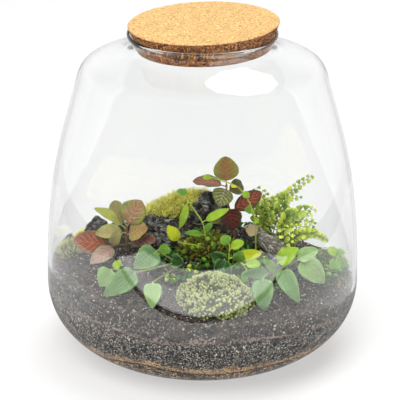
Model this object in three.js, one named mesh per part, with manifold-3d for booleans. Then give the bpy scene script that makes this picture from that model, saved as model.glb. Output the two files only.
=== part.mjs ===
// A glass plant terrarium: a corked glass jar with drainage grit, charcoal, soil, stones, moss and plants.
// Millimetres, +Z up, the jar's front towards -Y. The origin is the middle of the foot, on the surface below.

import * as THREE from "three";
import { mergeVertices } from "three/addons/utils/BufferGeometryUtils.js";
import Module from "manifold-3d";

const wasm = await Module();
wasm.setup();

// Driving dimensions
const CLEARANCE = 0.3; // between pieces that touch
const SIDES_ROUND = 36; // flat sides round the jar and round what follows its wall

const JAR = {
  foot: 76, // radii
  belly: 125,
  shoulder: 99,
  throat: 62,
  neck: 56,
  rim: 59.2,
  bellyHeight: 59, // heights
  shoulderHeight: 225,
  throatHeight: 246,
  neckHeight: 252.5,
  rimHeight: 262,
  shoulderLean: 14.4, // degrees that the wall leans in where the shoulder starts
  crownFall: 20, // degrees that the crown of the shoulder falls away from the throat
  footGlass: 6, // thickness of the glass
  wallGlass: 3,
  rimGlass: 2.4,
};
// How far the handles of the wall's curves reach from its named points
const HANDLES = {
  foot: 2,
  bellyDown: 46.4,
  bellyUp: 89,
  shoulderDown: 40,
  shoulderUp: 18,
  crown: 24,
  throat: 4,
  neckDown: 3,
  neckUp: 4,
  lip: 3,
};
const WALL_STEPS = [5, 4, 4, 2, 2]; // flat bands on each curve of the wall, from the foot up

const CORK = {
  topRadius: 59.3,
  bottomRadius: 51.3,
  thickness: 20.6,
  topHeight: 269.6,
  tilt: 2, // degrees, up to the right
  chamfer: 0.8,
};

const GROUND = {
  atWall: 61,
  fallRight: 0.07,
  fallBack: 0.05,
  mound: 43,
  moundY: -2,
  spreadX: 55,
  spreadY: 44.7,
  lump: 0.9,
  lumpLength: 7.3,
  bend: 1.5,
  bendLength: 12,
};
const CHARCOAL_TOP = { middle: 50, riseLeft: 0.035, wave: 2, lengthX: 21, lengthY: 26 };
const GRIT_TOP = { middle: 23, riseLeft: 0.02, wave: 2.5, lengthX: 17, lengthY: 23 };
const GROUND_CELLS = 20; // cells across each surface
const LAYER_CELLS = 6;
const BLOCK_MARGIN = 5; // how far the block below a surface stands out past the jar

// Stones and moss cushions: half their length, breadth and height, their turn in degrees, the seed of their
// roughness and how fine their skins are
const STONES = {
  rock_peak: { centre: [3, 6, 112], size: [18, 15, 15], turn: 20, seed: 3, detail: 3 },
  rock_ridge: { centre: [-32, -6, 98], size: [25, 15, 13], turn: 24, seed: 8, detail: 2 },
  rock_slab: { centre: [-24, -29.5, 100], size: [14, 8, 9], turn: -15, seed: 5, detail: 2 },
  rock_left_tall: { centre: [-87, 30, 82], size: [9, 8, 14], turn: 10, seed: 12, detail: 1 },
  rock_left_low: { centre: [-66, 27, 84], size: [11, 8, 9], turn: 0, seed: 17, detail: 1 },
  rock_right: { centre: [63, -42, 79], size: [13, 10, 14], turn: 30, seed: 21, detail: 2, pale: true },
};
// The tilted planes that break a stone's sides, and its roughness, in shares of its size
const BREAKS = {
  planes: 12,
  turn: 2.4,
  nearest: 0.76,
  spread: 0.22,
  farthest: 1.12,
  flattest: 0.1,
  rough: 0.05,
};

const WOOD = {
  route: [[38, -18, 104], [46, -23, 99], [56, -27, 92], [64, -30, 84]],
  radius: 6,
  steps: 5,
  sides: 9,
};

const MOSSES = {
  moss_front: { centre: [9, -89, 70], size: [28, 23, 23], seed: 4, detail: 6, pale: true },
  moss_ridge: { centre: [-25, 9, 109], size: [29, 12, 10], rise: 0.38, seed: 9, detail: 3 },
  moss_centre: { centre: [3, -36, 95], size: [20, 13, 9], seed: 14, detail: 3 },
  moss_left: { centre: [-108, 4, 71], size: [11, 19, 11], seed: 19, detail: 3, pale: true },
  moss_behind_left: { centre: [-97, 46, 66], size: [10, 13, 10], seed: 23, detail: 2 },
  moss_right: { centre: [100, 14, 58], size: [19, 24, 9], seed: 27, detail: 4 },
  moss_back: { centre: [-14, 74, 66], size: [30, 17, 10], seed: 31, detail: 2 },
};
const TUFT = 1.8; // how far a moss tuft stands out of its cushion

// Leaf outlines: the powers of the distance from the base and from the tip that the half-width follows, and
// how far the two lobes at the base reach back, in leaf lengths
const OVATE = { base: 0.6, tip: 0.7, lobe: 0 };
const HEART = { base: 0.35, tip: 0.9, lobe: 0.12 };
const ROUND = { base: 0.45, tip: 0.55, lobe: 0 };
const NARROW = { base: 0.6, tip: 0.8, lobe: 0 };

const COLOURS = {
  glass: 0xeef3f3,
  cork: 0xc9994f,
  grit: 0xb39a72,
  charcoal: 0x3c3a38,
  soil: 0x2f261f,
  stone: 0x4a4a4c,
  paleStone: 0x8b8b8d,
  wood: 0x7a6650,
  moss: 0x8fa03a,
  paleMoss: 0xb9c77e,
  netLeaf: 0x7b5a3e,
  ivy: 0x6faa3a,
  creeper: 0x8fc31f,
  fern: 0x7fb52a,
};
const ROUGHNESS = { glass: 0.05, cork: 0.9, stone: 0.8, moss: 0.95, leaf: 0.5 };

// The planted pieces. Each stem is a route from its root up, and each leaf grows from a place on a stem, a
// share of its length, to its tip; facing is the side that its upper face turns to.
const FRONT = [0, -3, 1];
const OPEN = [0, -1, 1];
const FLAT = [0, -1, 3];

const PLANTS = {
  net_plant_left: {
    outline: OVATE,
    colour: "netLeaf",
    radius: 1.1,
    stems: [
      [[-60, -22, 77], [-60, -22, 92], [-60, -23, 100], [-60, -23, 109]],
      [[-60, -22, 91], [-65, -27, 94], [-71, -34, 95]],
    ],
    leaves: [
      { stem: 0, at: 0.95, tip: [-48, -20, 129], width: 22, facing: [-1, -3, 1] },
      { stem: 0, at: 0.9, tip: [-86, -12, 120], width: 9, facing: [1, -2, 2] },
      { stem: 0, at: 1, tip: [-72, -8, 124], width: 16, facing: [-1, -2, 1] },
      { stem: 0, at: 0.8, tip: [-84, -36, 107], width: 13, facing: OPEN },
      { stem: 0, at: 0.75, tip: [-43, -34, 111], width: 18, facing: OPEN },
      { stem: 0, at: 0.5, tip: [-36, -33, 101], width: 13, facing: OPEN },
      { stem: 1, at: 0.95, tip: [-101, -36, 102], width: 19, facing: [-1, -3, 2] },
      { stem: 1, at: 0.75, tip: [-87, -52, 89], width: 14, facing: [0, -2, 2] },
      { stem: 1, at: 1, tip: [-65, -42, 113], width: 9, facing: FRONT },
    ],
  },
  net_plant_centre: {
    outline: OVATE,
    colour: "netLeaf",
    radius: 1.1,
    stems: [[[25, -24, 84], [25, -24, 101], [22, -18, 116], [19, -11, 130], [19, -8, 138]]],
    leaves: [
      { stem: 0, at: 1, tip: [18, -6, 161], width: 20, facing: FRONT },
      { stem: 0, at: 0.97, tip: [-8, -5, 140], width: 13, facing: [0, -1, 2] },
      { stem: 0, at: 0.97, tip: [13, -25, 126], width: 17, facing: FRONT },
      { stem: 0, at: 0.62, tip: [47, -6, 131], width: 14, facing: FRONT },
      { stem: 0, at: 0.7, tip: [24, -33, 109], width: 18, facing: [0, -2, 1] },
      { stem: 0, at: 0.9, tip: [32, 6, 134], width: 13, facing: FRONT },
      { stem: 0, at: 0.5, tip: [3, -21, 115], width: 11, facing: OPEN },
    ],
  },
  creeper_centre: {
    outline: NARROW,
    colour: "creeper",
    radius: 0.8,
    stems: [
      [[3, -40, 82], [3, -40, 99], [0, -38, 117], [-7, -33, 127], [-13, -28, 135]],
      [[3, -40, 97], [-8, -46, 102], [-18, -47, 104]],
    ],
    leaves: [
      { stem: 0, at: 1, tip: [-19, -18, 138], width: 9, facing: FLAT },
      { stem: 0, at: 0.95, tip: [-18, -38, 112], width: 6.5, facing: [1, -3, 1] },
      { stem: 0, at: 0.6, tip: [21, -40, 130], width: 7.5, facing: OPEN },
      { stem: 0, at: 0.42, tip: [-14, -46, 112], width: 5.5, facing: OPEN },
      { stem: 0, at: 0.45, tip: [8, -44, 120], width: 5.5, facing: OPEN },
      { stem: 1, at: 1, tip: [-27, -48, 119], width: 10, facing: FRONT },
    ],
  },
  creeper_arch: {
    outline: NARROW,
    colour: "creeper",
    radius: 0.8,
    stems: [[[42, -32, 75], [42, -32, 92], [40, -30, 122], [29, -25, 141], [8, -22, 149]]],
    leaves: [
      { stem: 0, at: 0.45, tip: [44, -36, 117], width: 6, facing: FRONT },
      { stem: 0, at: 0.55, tip: [33, -34, 126], width: 6.5, facing: FRONT },
      { stem: 0, at: 0.72, tip: [37, -29, 135], width: 6, facing: FRONT },
      { stem: 0, at: 0.8, tip: [23, -31, 144], width: 6, facing: OPEN },
      { stem: 0, at: 1, tip: [0, -22, 149], width: 5, facing: OPEN },
    ],
  },
  creeper_front: {
    outline: ROUND,
    colour: "creeper",
    radius: 0.8,
    stems: [
      [[20, -58, 70], [20, -58, 87], [21, -57, 106]],
      [[20, -58, 85], [29, -65, 95], [34, -70, 91]],
      [[20, -58, 88], [17, -66, 98]],
    ],
    leaves: [
      { stem: 0, at: 1, tip: [15, -53, 112], width: 9, facing: OPEN },
      { stem: 0, at: 0.9, tip: [32, -54, 108], width: 8, facing: OPEN },
      { stem: 0, at: 0.7, tip: [46, -56, 99], width: 9, facing: [0, -2, 1] },
      { stem: 0, at: 0.6, tip: [7, -60, 100], width: 10, facing: FRONT },
      { stem: 1, at: 0.5, tip: [30, -67, 105], width: 10, facing: FRONT },
      { stem: 1, at: 1, tip: [31, -80, 84], width: 6, facing: FRONT },
      { stem: 2, at: 1, tip: [10, -72, 92], width: 9, facing: FRONT },
      { stem: 2, at: 0.9, tip: [21, -76, 88], width: 7, facing: FRONT },
      { stem: 1, at: 0.8, tip: [45, -66, 94], width: 8, facing: OPEN },
    ],
  },
  creeper_right: {
    outline: ROUND,
    colour: "creeper",
    radius: 0.8,
    stems: [[[107, 2, 50], [107, 2, 64], [108, 0, 70], [109, -3, 74]]],
    leaves: [
      { stem: 0, at: 0.9, tip: [104, -14, 66], width: 10, facing: FRONT },
      { stem: 0, at: 1, tip: [114, -9, 66], width: 8, facing: FRONT },
      { stem: 0, at: 0.95, tip: [102, 3, 80], width: 8, facing: OPEN },
      { stem: 0, at: 1, tip: [113, 4, 78], width: 7, facing: OPEN },
    ],
  },
  ivy_left: {
    outline: HEART,
    colour: "ivy",
    radius: 0.9,
    stems: [
      [[-21, -56, 74], [-21, -56, 82], [-21, -56, 90], [-35, -60, 103]],
      [[-21, -56, 91], [-33, -69, 93], [-50, -74, 91], [-70, -69, 91]],
      [[-21, -56, 86], [-32, -80, 89], [-38, -90, 89]],
    ],
    leaves: [
      { stem: 1, at: 1, tip: [-79, -75, 79], width: 17, facing: FRONT },
      { stem: 1, at: 0.95, tip: [-64, -64, 97], width: 7, facing: OPEN },
      { stem: 1, at: 0.65, tip: [-76, -87, 76], width: 18, facing: [0, -2, 1] },
      { stem: 2, at: 1, tip: [-38, -104, 73], width: 14, facing: FRONT },
      { stem: 0, at: 1, tip: [-53, -70, 92], width: 19, facing: [0, -2, 1] },
      { stem: 0, at: 0.6, tip: [-14, -63, 93], width: 12, facing: FRONT },
      { stem: 0, at: 0.8, tip: [-30, -55, 107], width: 10, facing: OPEN },
    ],
  },
  ivy_right: {
    outline: HEART,
    colour: "ivy",
    radius: 0.9,
    stems: [
      [[54, -62, 58], [54, -62, 78], [58, -58, 91]],
      [[54, -62, 76], [51, -78, 91], [46, -86, 91]],
      [[54, -62, 80], [64, -61, 90], [76, -54, 93]],
    ],
    leaves: [
      { stem: 1, at: 1, tip: [47, -98, 68], width: 17, facing: FRONT },
      { stem: 1, at: 0.75, tip: [30, -84, 92], width: 10, facing: [0, -2, 2] },
      { stem: 2, at: 0.35, tip: [74, -84, 69], width: 15, facing: FRONT },
      { stem: 2, at: 1, tip: [95, -56, 73], width: 18, facing: FRONT },
      { stem: 0, at: 1, tip: [75, -52, 102], width: 13, facing: [0, -2, 1] },
      { stem: 0, at: 0.8, tip: [46, -66, 98], width: 8, facing: OPEN },
      { stem: 2, at: 0.9, tip: [91, -42, 97], width: 12, facing: OPEN },
    ],
  },
};

// The fern's fronds: the foot, the middle and the tip of each rib, how many pairs of leaflets it bears, and
// the side that its upper face turns to
const FERN = {
  thickness: 1,
  ribWidth: 1.6,
  bare: 0.28, // share of the rib below its first leaflets
  bend: 0.14, // where the bare part bends
  leafy: 0.97, // where the last leaflets end
  leaflet: 5,
  leafletBreadth: 0.85, // of the distance between two pairs
  longest: 0.6, // where the leaflets are longest, and how much shorter they are at the ends
  taper: 0.55,
  sweep: 0.3, // how far a leaflet's tip points forwards, in leaflet lengths
  leafletOutline: [[0.45, -0.5], [1, 0], [0.45, 0.5]], // outwards in leaflet lengths, forwards in breadths
  fronds: [
    { foot: [53, 1, 80], middle: [68, 3, 124], tip: [88, 4, 142], pairs: 10, facing: [-1, -3, 2] },
    { foot: [57, -7, 80], middle: [70, -11, 113], tip: [90, -12, 119], pairs: 8, facing: [-1, -3, 2] },
    { foot: [48, 4, 80], middle: [43, 10, 112], tip: [44, 14, 128], pairs: 6, facing: [1, -3, 1] },
    { foot: [51, 8, 80], middle: [59, 18, 114], tip: [76, 26, 121], pairs: 7, facing: [-1, -3, 2] },
    { foot: [65, -10, 77], middle: [73, -21, 105], tip: [88, -25, 110], pairs: 7, facing: [-1, -3, 3] },
    { foot: [69, -4, 75], middle: [82, -14, 99], tip: [100, -20, 95], pairs: 8, facing: [0, -2, 3] },
    { foot: [62, -4, 78], middle: [63, -29, 111], tip: [66, -50, 93], pairs: 7, facing: [0, -1, 1] },
    { foot: [48, -4, 80], middle: [49, -9, 116], tip: [50, -11, 132], pairs: 6, facing: [0, -3, 1] },
    { foot: [60, 1, 80], middle: [72, 3, 108], tip: [88, 5, 108], pairs: 6, facing: [-1, -3, 3] },
  ],
};
// A leaf's thickness and the half-width of its stalk, then its fold, its arch and its stalk's end as shares
const LEAF = { thickness: 0.8, stalk: 0.7, fold: 0.22, arch: 0.08, bladeStart: 0.15 };
const LEAF_ROWS = { large: 4, small: 2, largeWidth: 11 };
const STEM = { sides: 4, stepsPerStretch: 2 };
const HOLE = { reach: 20, slack: 0.7, sides: 5 }; // the plain hole that a root stands in

// Solids

// A geometry as a solid, with its doubled vertices merged and its collapsed triangles left out
function solidOf(geometry) {
  const bare = geometry.clone();
  bare.deleteAttribute("normal");
  bare.deleteAttribute("uv");
  const merged = mergeVertices(bare, 1e-4);
  const corners = merged.index.array;
  const kept = [];
  for (let i = 0; i < corners.length; i += 3) {
    const [a, b, c] = corners.slice(i, i + 3);
    if (a !== b && b !== c && a !== c) kept.push(a, b, c);
  }
  const vertProperties = merged.getAttribute("position").array;
  const triVerts = new Uint32Array(kept);
  return new wasm.Manifold(new wasm.Mesh({ numProp: 3, vertProperties, triVerts }));
}

// A closed solid from its corners and its triangles
function solidFrom(corners, triangles) {
  const vertProperties = new Float32Array(corners.flatMap((corner) => corner.toArray()));
  const triVerts = new Uint32Array(triangles);
  return new wasm.Manifold(new wasm.Mesh({ numProp: 3, vertProperties, triVerts }));
}

function joined(solids) {
  return solids.reduce((all, solid) => all.add(solid));
}

// The largest body of a solid, without the loose scraps that a cut can leave
function mainBody(solid) {
  return solid.decompose().reduce((largest, body) => (body.volume() > largest.volume() ? body : largest));
}

function meshOf(name, solid, colour, roughness = ROUGHNESS.stone, extra = {}) {
  const { numProp, vertProperties, triVerts } = solid.getMesh();
  const geometry = new THREE.BufferGeometry();
  geometry.setAttribute("position", new THREE.BufferAttribute(vertProperties, numProp));
  geometry.setIndex(new THREE.BufferAttribute(triVerts, 1));
  geometry.computeVertexNormals();
  const look = { color: COLOURS[colour], roughness, metalness: 0, ...extra };
  const material = new THREE.MeshStandardMaterial(look);
  const mesh = new THREE.Mesh(geometry, material);
  mesh.name = name;
  return mesh;
}

// A repeatable number from 0 to 1 for a seed and an index
function chance(seed, index) {
  const wave = Math.sin(seed * 127.1 + index * 311.7) * 43758.5453;
  return wave - Math.floor(wave);
}

function vector([x, y, z]) {
  return new THREE.Vector3(x, y, z);
}

// The jar and what follows its wall

function glassThickness(height) {
  const low = THREE.MathUtils.smoothstep(height, 0, JAR.bellyHeight);
  const high = THREE.MathUtils.smoothstep(height, JAR.shoulderHeight, JAR.rimHeight);
  return THREE.MathUtils.lerp(JAR.footGlass, JAR.wallGlass, low) - (JAR.wallGlass - JAR.rimGlass) * high;
}

// The outside of the wall from the foot's edge to the lip, x being the radius and y the height
function wallCurves() {
  const lean = THREE.MathUtils.degToRad(JAR.shoulderLean);
  const along = new THREE.Vector2(-Math.sin(lean), Math.cos(lean));
  const shoulder = new THREE.Vector2(JAR.shoulder, JAR.shoulderHeight);
  const belowShoulder = shoulder.clone().addScaledVector(along, -HANDLES.shoulderDown);
  const aboveShoulder = shoulder.clone().addScaledVector(along, HANDLES.shoulderUp);
  const fall = THREE.MathUtils.degToRad(JAR.crownFall);
  const outwards = new THREE.Vector2(Math.cos(fall), -Math.sin(fall));
  const throat = new THREE.Vector2(JAR.throat, JAR.throatHeight);
  const crown = throat.clone().addScaledVector(outwards, HANDLES.crown);
  const belowNeck = throat.clone().addScaledVector(outwards, -HANDLES.throat);
  const { foot, belly, bellyHeight, neck, neckHeight, rim, rimGlass } = JAR;
  const lipHeight = JAR.rimHeight - rimGlass / 2;
  const path = new THREE.Path();
  path.moveTo(foot, 0);
  path.bezierCurveTo(foot + HANDLES.foot, 0, belly, bellyHeight - HANDLES.bellyDown, belly, bellyHeight);
  path.bezierCurveTo(belly, bellyHeight + HANDLES.bellyUp, ...belowShoulder, ...shoulder);
  path.bezierCurveTo(...aboveShoulder, ...crown, ...throat);
  path.bezierCurveTo(...belowNeck, neck, neckHeight - HANDLES.neckDown, neck, neckHeight);
  path.bezierCurveTo(neck, neckHeight + HANDLES.neckUp, rim, lipHeight - HANDLES.lip, rim, lipHeight);
  return path.curves;
}

// Points up the wall, moved in from the outside by a distance that depends on the height
function wallLine(distance) {
  return wallCurves().flatMap((curve, index) => {
    const steps = WALL_STEPS[index];
    const line = [];
    for (let step = index ? 1 : 0; step <= steps; step++) {
      const point = curve.getPoint(step / steps);
      const direction = curve.getTangent(step / steps);
      const inwards = new THREE.Vector2(-direction.y, direction.x);
      line.push(point.clone().addScaledVector(inwards, distance(point.y)));
    }
    return line;
  });
}

function turned(profile) {
  const geometry = new THREE.LatheGeometry(profile, SIDES_ROUND);
  geometry.rotateX(Math.PI / 2);
  return solidOf(geometry);
}

function jarGlass() {
  const outside = wallLine(() => 0);
  const inside = wallLine(glassThickness).reverse();
  const lip = new THREE.Vector2(JAR.rim - JAR.rimGlass / 2, JAR.rimHeight);
  const footTop = new THREE.Vector2(0, JAR.footGlass);
  return turned([new THREE.Vector2(0, 0), ...outside, lip, ...inside, footTop]);
}

// The room inside the jar up to its shoulder, a clearance away from the glass
function roomInside() {
  const wall = wallLine((height) => glassThickness(height) + CLEARANCE);
  const line = wall.filter((point) => point.y <= JAR.shoulderHeight);
  const top = new THREE.Vector2(0, line.at(-1).y);
  return turned([new THREE.Vector2(0, JAR.footGlass + CLEARANCE), ...line, top]);
}

function corkLid() {
  const { topRadius, bottomRadius, thickness, chamfer } = CORK;
  const profile = [
    [0, -thickness],
    [bottomRadius - chamfer, -thickness],
    [bottomRadius, -thickness + chamfer],
    [topRadius, -chamfer],
    [topRadius - chamfer, 0],
    [0, 0],
  ];
  return turned(profile.map(([radius, height]) => new THREE.Vector2(radius, height)));
}

// Ground and layers

function groundHeight(x, y) {
  const { atWall, fallRight, fallBack, mound, moundY, spreadX, spreadY } = GROUND;
  const { lump, lumpLength, bend, bendLength } = GROUND;
  const rise = mound * Math.exp(-(x ** 2) / (2 * spreadX ** 2) - (y - moundY) ** 2 / (2 * spreadY ** 2));
  const alongX = Math.sin(x / lumpLength + bend * Math.sin(y / bendLength));
  const alongY = Math.cos(y / lumpLength - bend * Math.sin(x / bendLength));
  return atWall - fallRight * x - fallBack * y + rise + lump * (alongX + alongY);
}

function charcoalHeight(x, y) {
  const { middle, riseLeft, wave, lengthX, lengthY } = CHARCOAL_TOP;
  return middle - riseLeft * x + wave * Math.sin(x / lengthX + Math.cos(y / lengthY));
}

function gritHeight(x, y) {
  const { middle, riseLeft, wave, lengthX, lengthY } = GRIT_TOP;
  return middle - riseLeft * x + wave * Math.sin(x / lengthX - y / lengthY);
}

// Everything below a surface, as a block wider than the jar
function below(height, cells, lift = 0) {
  const side = 2 * (JAR.belly + BLOCK_MARGIN);
  const geometry = new THREE.BoxGeometry(side, side, 1, cells, cells, 1);
  const position = geometry.getAttribute("position");
  for (let i = 0; i < position.count; i++) {
    const top = position.getZ(i) > 0;
    position.setZ(i, top ? height(position.getX(i), position.getY(i)) + lift : -BLOCK_MARGIN);
  }
  return solidOf(geometry);
}

// Stones, wood and moss

// A point on the skin of a stone or cushion, which can climb towards its right end
function aroundCentre({ centre, size, turn = 0, rise = 0 }, direction, reach, grow) {
  const point = vector(size).addScalar(grow).multiply(direction).multiplyScalar(reach);
  point.z += rise * point.x;
  point.applyAxisAngle(new THREE.Vector3(0, 0, 1), THREE.MathUtils.degToRad(turn));
  return point.add(vector(centre));
}

// A ball of small triangles whose every corner is moved to where place(direction, index) says
function moulded(detail, place) {
  const geometry = new THREE.IcosahedronGeometry(1, detail);
  geometry.deleteAttribute("normal");
  geometry.deleteAttribute("uv");
  const ball = mergeVertices(geometry, 1e-4);
  const position = ball.getAttribute("position");
  for (let i = 0; i < position.count; i++) {
    const direction = new THREE.Vector3().fromBufferAttribute(position, i).normalize();
    position.setXYZ(i, ...place(direction, i).toArray());
  }
  return solidOf(ball);
}

// A broken stone: the room inside a ring of tilted planes, with a rough skin
function stone(shape, grow = 0) {
  const planes = [];
  for (let i = 0; i < BREAKS.planes; i++) {
    const height = 1 - (2 * i + 1) / BREAKS.planes;
    const around = i * BREAKS.turn + chance(shape.seed, i);
    const level = Math.sqrt(1 - height ** 2);
    const normal = new THREE.Vector3(level * Math.cos(around), level * Math.sin(around), height);
    planes.push({ normal, distance: BREAKS.nearest + BREAKS.spread * chance(shape.seed, i + BREAKS.planes) });
  }
  return moulded(shape.detail, (direction, index) => {
    const facing = (normal) => Math.max(BREAKS.flattest, normal.dot(direction));
    const reaches = planes.map(({ normal, distance }) => distance / facing(normal));
    const rough = 1 + BREAKS.rough * (chance(shape.seed, index + 2 * BREAKS.planes) - 0.5);
    return aroundCentre(shape, direction, Math.min(BREAKS.farthest, ...reaches) * rough, grow);
  });
}

// A moss cushion, its skin raised in tufts
function cushion(shape) {
  return moulded(shape.detail, (direction, index) => {
    const tuft = (TUFT * chance(shape.seed, index)) / Math.min(...shape.size);
    return aroundCentre(shape, direction, 1 + tuft, 0);
  });
}

function ring(radius, sides) {
  const shape = new THREE.Shape();
  for (let i = 0; i < sides; i++) {
    const angle = (2 * Math.PI * i) / sides;
    const x = radius * Math.cos(angle);
    const y = radius * Math.sin(angle);
    if (i) shape.lineTo(x, y);
    else shape.moveTo(x, y);
  }
  return shape;
}

// A round rod along a smooth route
function rod(route, radius, sides, steps) {
  const extrudePath = new THREE.CatmullRomCurve3(route.map(vector));
  return solidOf(new THREE.ExtrudeGeometry(ring(radius, sides), { steps, extrudePath, bevelEnabled: false }));
}

function woodStub(grow = 0) {
  return rod(WOOD.route, WOOD.radius + grow, WOOD.sides, WOOD.steps);
}

// Leaves and stems

function halfWidth(outline, share) {
  const widest = outline.base / (outline.base + outline.tip);
  const shape = (t) => t ** outline.base * (1 - t) ** outline.tip;
  return shape(share) / shape(widest);
}

// A closed plate of one thickness: points on its middle surface, each with the way that its upper face turns,
// the triangles of that face, and the outline as a loop of points with the upper face on its left
function plate(points, upper, outline, half) {
  const layer = (way) => points.map(({ place, up }) => place.clone().addScaledVector(up, way * half));
  const count = points.length;
  const triangles = upper.flatMap(([a, b, c]) => [a, b, c, count + a, count + c, count + b]);
  outline.forEach((from, index) => {
    const to = outline[(index + 1) % outline.length];
    triangles.push(from, count + from, to, to, count + from, count + to);
  });
  return solidFrom([...layer(1), ...layer(-1)], triangles);
}

// A leaf from its place on a stem to its tip: a narrow stalk that widens into the blade, in crosswise rows of
// a left edge, a midrib and a right edge, folded up along the midrib and arched along its length
function leaf(base, tip, { width, facing, outline, rows, grow }) {
  const along = tip.clone().sub(base);
  const length = along.length() + grow;
  along.normalize();
  const side = along.clone().cross(vector(facing)).normalize();
  const up = side.clone().cross(along);
  const points = [];
  const point = (share, across, lift) => {
    const arched = lift + LEAF.arch * length * Math.sin(Math.PI * share);
    const place = base.clone().addScaledVector(along, length * share);
    place.addScaledVector(side, across).addScaledVector(up, arched);
    points.push({ place, up });
  };
  point(0, 0, 0);
  for (let row = 0; row <= rows; row++) {
    const share = row / (rows + 1);
    const reach = row ? (width / 2) * halfWidth(outline, share) + grow : LEAF.stalk + grow;
    const place = LEAF.bladeStart + (1 - LEAF.bladeStart) * share;
    const edge = row ? place - outline.lobe * (1 - share) ** 3 : place;
    point(edge, -reach, LEAF.fold * reach);
    point(place, 0, 0);
    point(edge, reach, LEAF.fold * reach);
  }
  point(1, 0, 0);
  const last = points.length - 1;
  const upper = [[0, 2, 1], [0, 3, 2], [last - 3, last - 2, last], [last - 2, last - 1, last]];
  for (let left = 1; left + 5 < last; left += 3) {
    upper.push([left, left + 1, left + 4], [left, left + 4, left + 3]);
    upper.push([left + 1, left + 2, left + 5], [left + 1, left + 5, left + 4]);
  }
  const leftEdge = Array.from({ length: rows + 1 }, (_, row) => 3 * row + 1);
  const rightEdge = leftEdge.map((index) => index + 2);
  return plate(points, upper, [0, ...rightEdge, last, ...leftEdge.reverse()], LEAF.thickness / 2 + grow);
}

// A straight rod between two points
function stalk(from, to, radius, sides) {
  const along = to.clone().sub(from);
  const geometry = new THREE.CylinderGeometry(radius, radius, along.length(), sides);
  const upright = new THREE.Vector3(0, 1, 0);
  geometry.applyQuaternion(new THREE.Quaternion().setFromUnitVectors(upright, along.normalize()));
  const middle = from.clone().add(to).multiplyScalar(0.5);
  geometry.translate(middle.x, middle.y, middle.z);
  return solidOf(geometry);
}

// A rooted plant: its stems and its leaves
function plant({ outline, radius, stems, leaves }, grow = 0) {
  const pieces = stems.map((route) =>
    rod(route, radius + grow, STEM.sides, STEM.stepsPerStretch * (route.length - 1)),
  );
  for (const { stem, at, tip, width, facing } of leaves) {
    const base = new THREE.CatmullRomCurve3(stems[stem].map(vector)).getPointAt(at);
    const rows = width > LEAF_ROWS.largeWidth ? LEAF_ROWS.large : LEAF_ROWS.small;
    pieces.push(leaf(base, vector(tip), { width, facing, outline, rows, grow }));
  }
  return joined(pieces);
}

// The plain round hole that a stem stands in, from just below its foot along its first stretch
function rootHole({ foot, next, radius }) {
  const start = vector(foot);
  const along = vector(next).sub(start).normalize();
  const from = start.clone().addScaledVector(along, -HOLE.slack);
  return stalk(from, start.clone().addScaledVector(along, HOLE.reach), radius + HOLE.slack, HOLE.sides);
}

// A fern frond: a thin arched plate cut into pairs of round leaflets along its rib
function frond({ foot, middle, tip, pairs, facing }, grow = 0) {
  const rib = new THREE.CatmullRomCurve3([foot, middle, tip].map(vector));
  const across = vector(tip).sub(vector(foot)).cross(vector(facing));
  const points = [];
  const point = (share, out, ahead) => {
    const forwards = rib.getTangentAt(share);
    const side = across.clone().addScaledVector(forwards, -across.dot(forwards)).normalize();
    const place = rib.getPointAt(share).addScaledVector(side, out).addScaledVector(forwards, ahead);
    points.push({ place, up: side.clone().cross(forwards) });
    return points.length - 1;
  };
  const half = FERN.ribWidth / 2 + grow;
  const shares = [0, FERN.bend, FERN.bare];
  for (let pair = 1; pair <= pairs; pair++) {
    shares.push(THREE.MathUtils.lerp(FERN.bare, FERN.leafy, pair / pairs));
  }
  const edges = shares.map((share) => [point(share, -half, 0), point(share, half, 0)]);
  const upper = [];
  const outlines = [[edges[0][0]], [edges[0][1]]];
  for (let k = 1; k < shares.length; k++) {
    const [[left, right], [nextLeft, nextRight]] = [edges[k - 1], edges[k]];
    upper.push([left, right, nextRight], [left, nextRight, nextLeft]);
    if (k > 2) {
      const share = (shares[k - 1] + shares[k]) / 2;
      const fromLongest = Math.abs(share - FERN.longest) / (1 - FERN.longest);
      const reach = FERN.leaflet * Math.max(1 - FERN.taper * fromLongest, 1 - FERN.taper) + grow;
      const breadth = rib.getLength() * (shares[k] - shares[k - 1]) * FERN.leafletBreadth + 2 * grow;
      [-1, 1].forEach((way, index) => {
        const outer = FERN.leafletOutline.map(([out, ahead]) =>
          point(share, way * (half + out * reach), ahead * breadth + FERN.sweep * out * reach),
        );
        const loop = [edges[k - 1][index], ...outer, edges[k][index]];
        for (let i = 1; i + 1 < loop.length; i++) {
          upper.push(way > 0 ? [loop[0], loop[i], loop[i + 1]] : [loop[0], loop[i + 1], loop[i]]);
        }
        outlines[index].push(...outer);
      });
    }
    outlines[0].push(nextLeft);
    outlines[1].push(nextRight);
  }
  const end = point(1, 0, 0);
  const [lastLeft, lastRight] = edges.at(-1);
  upper.push([lastLeft, lastRight, end]);
  return plate(points, upper, [...outlines[1], end, ...outlines[0].reverse()], FERN.thickness / 2 + grow);
}

// The whole terrarium

const terrarium = new THREE.Group();

const glass = { transparent: true, opacity: 0.2, side: THREE.DoubleSide };
terrarium.add(meshOf("glass_jar", jarGlass(), "glass", ROUGHNESS.glass, glass));

const cork = meshOf("cork_lid", corkLid(), "cork", ROUGHNESS.cork);
const tilt = THREE.MathUtils.degToRad(CORK.tilt);
const corkShift = (Math.tan(tilt) * (CORK.topRadius - CORK.bottomRadius) * JAR.rim) / CORK.thickness;
cork.position.set(corkShift, 0, CORK.topHeight);
cork.rotation.y = -tilt;
terrarium.add(cork);

const room = roomInside();
const stones = Object.entries(STONES);
const plants = Object.entries(PLANTS);
const mosses = Object.entries(MOSSES);

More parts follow.
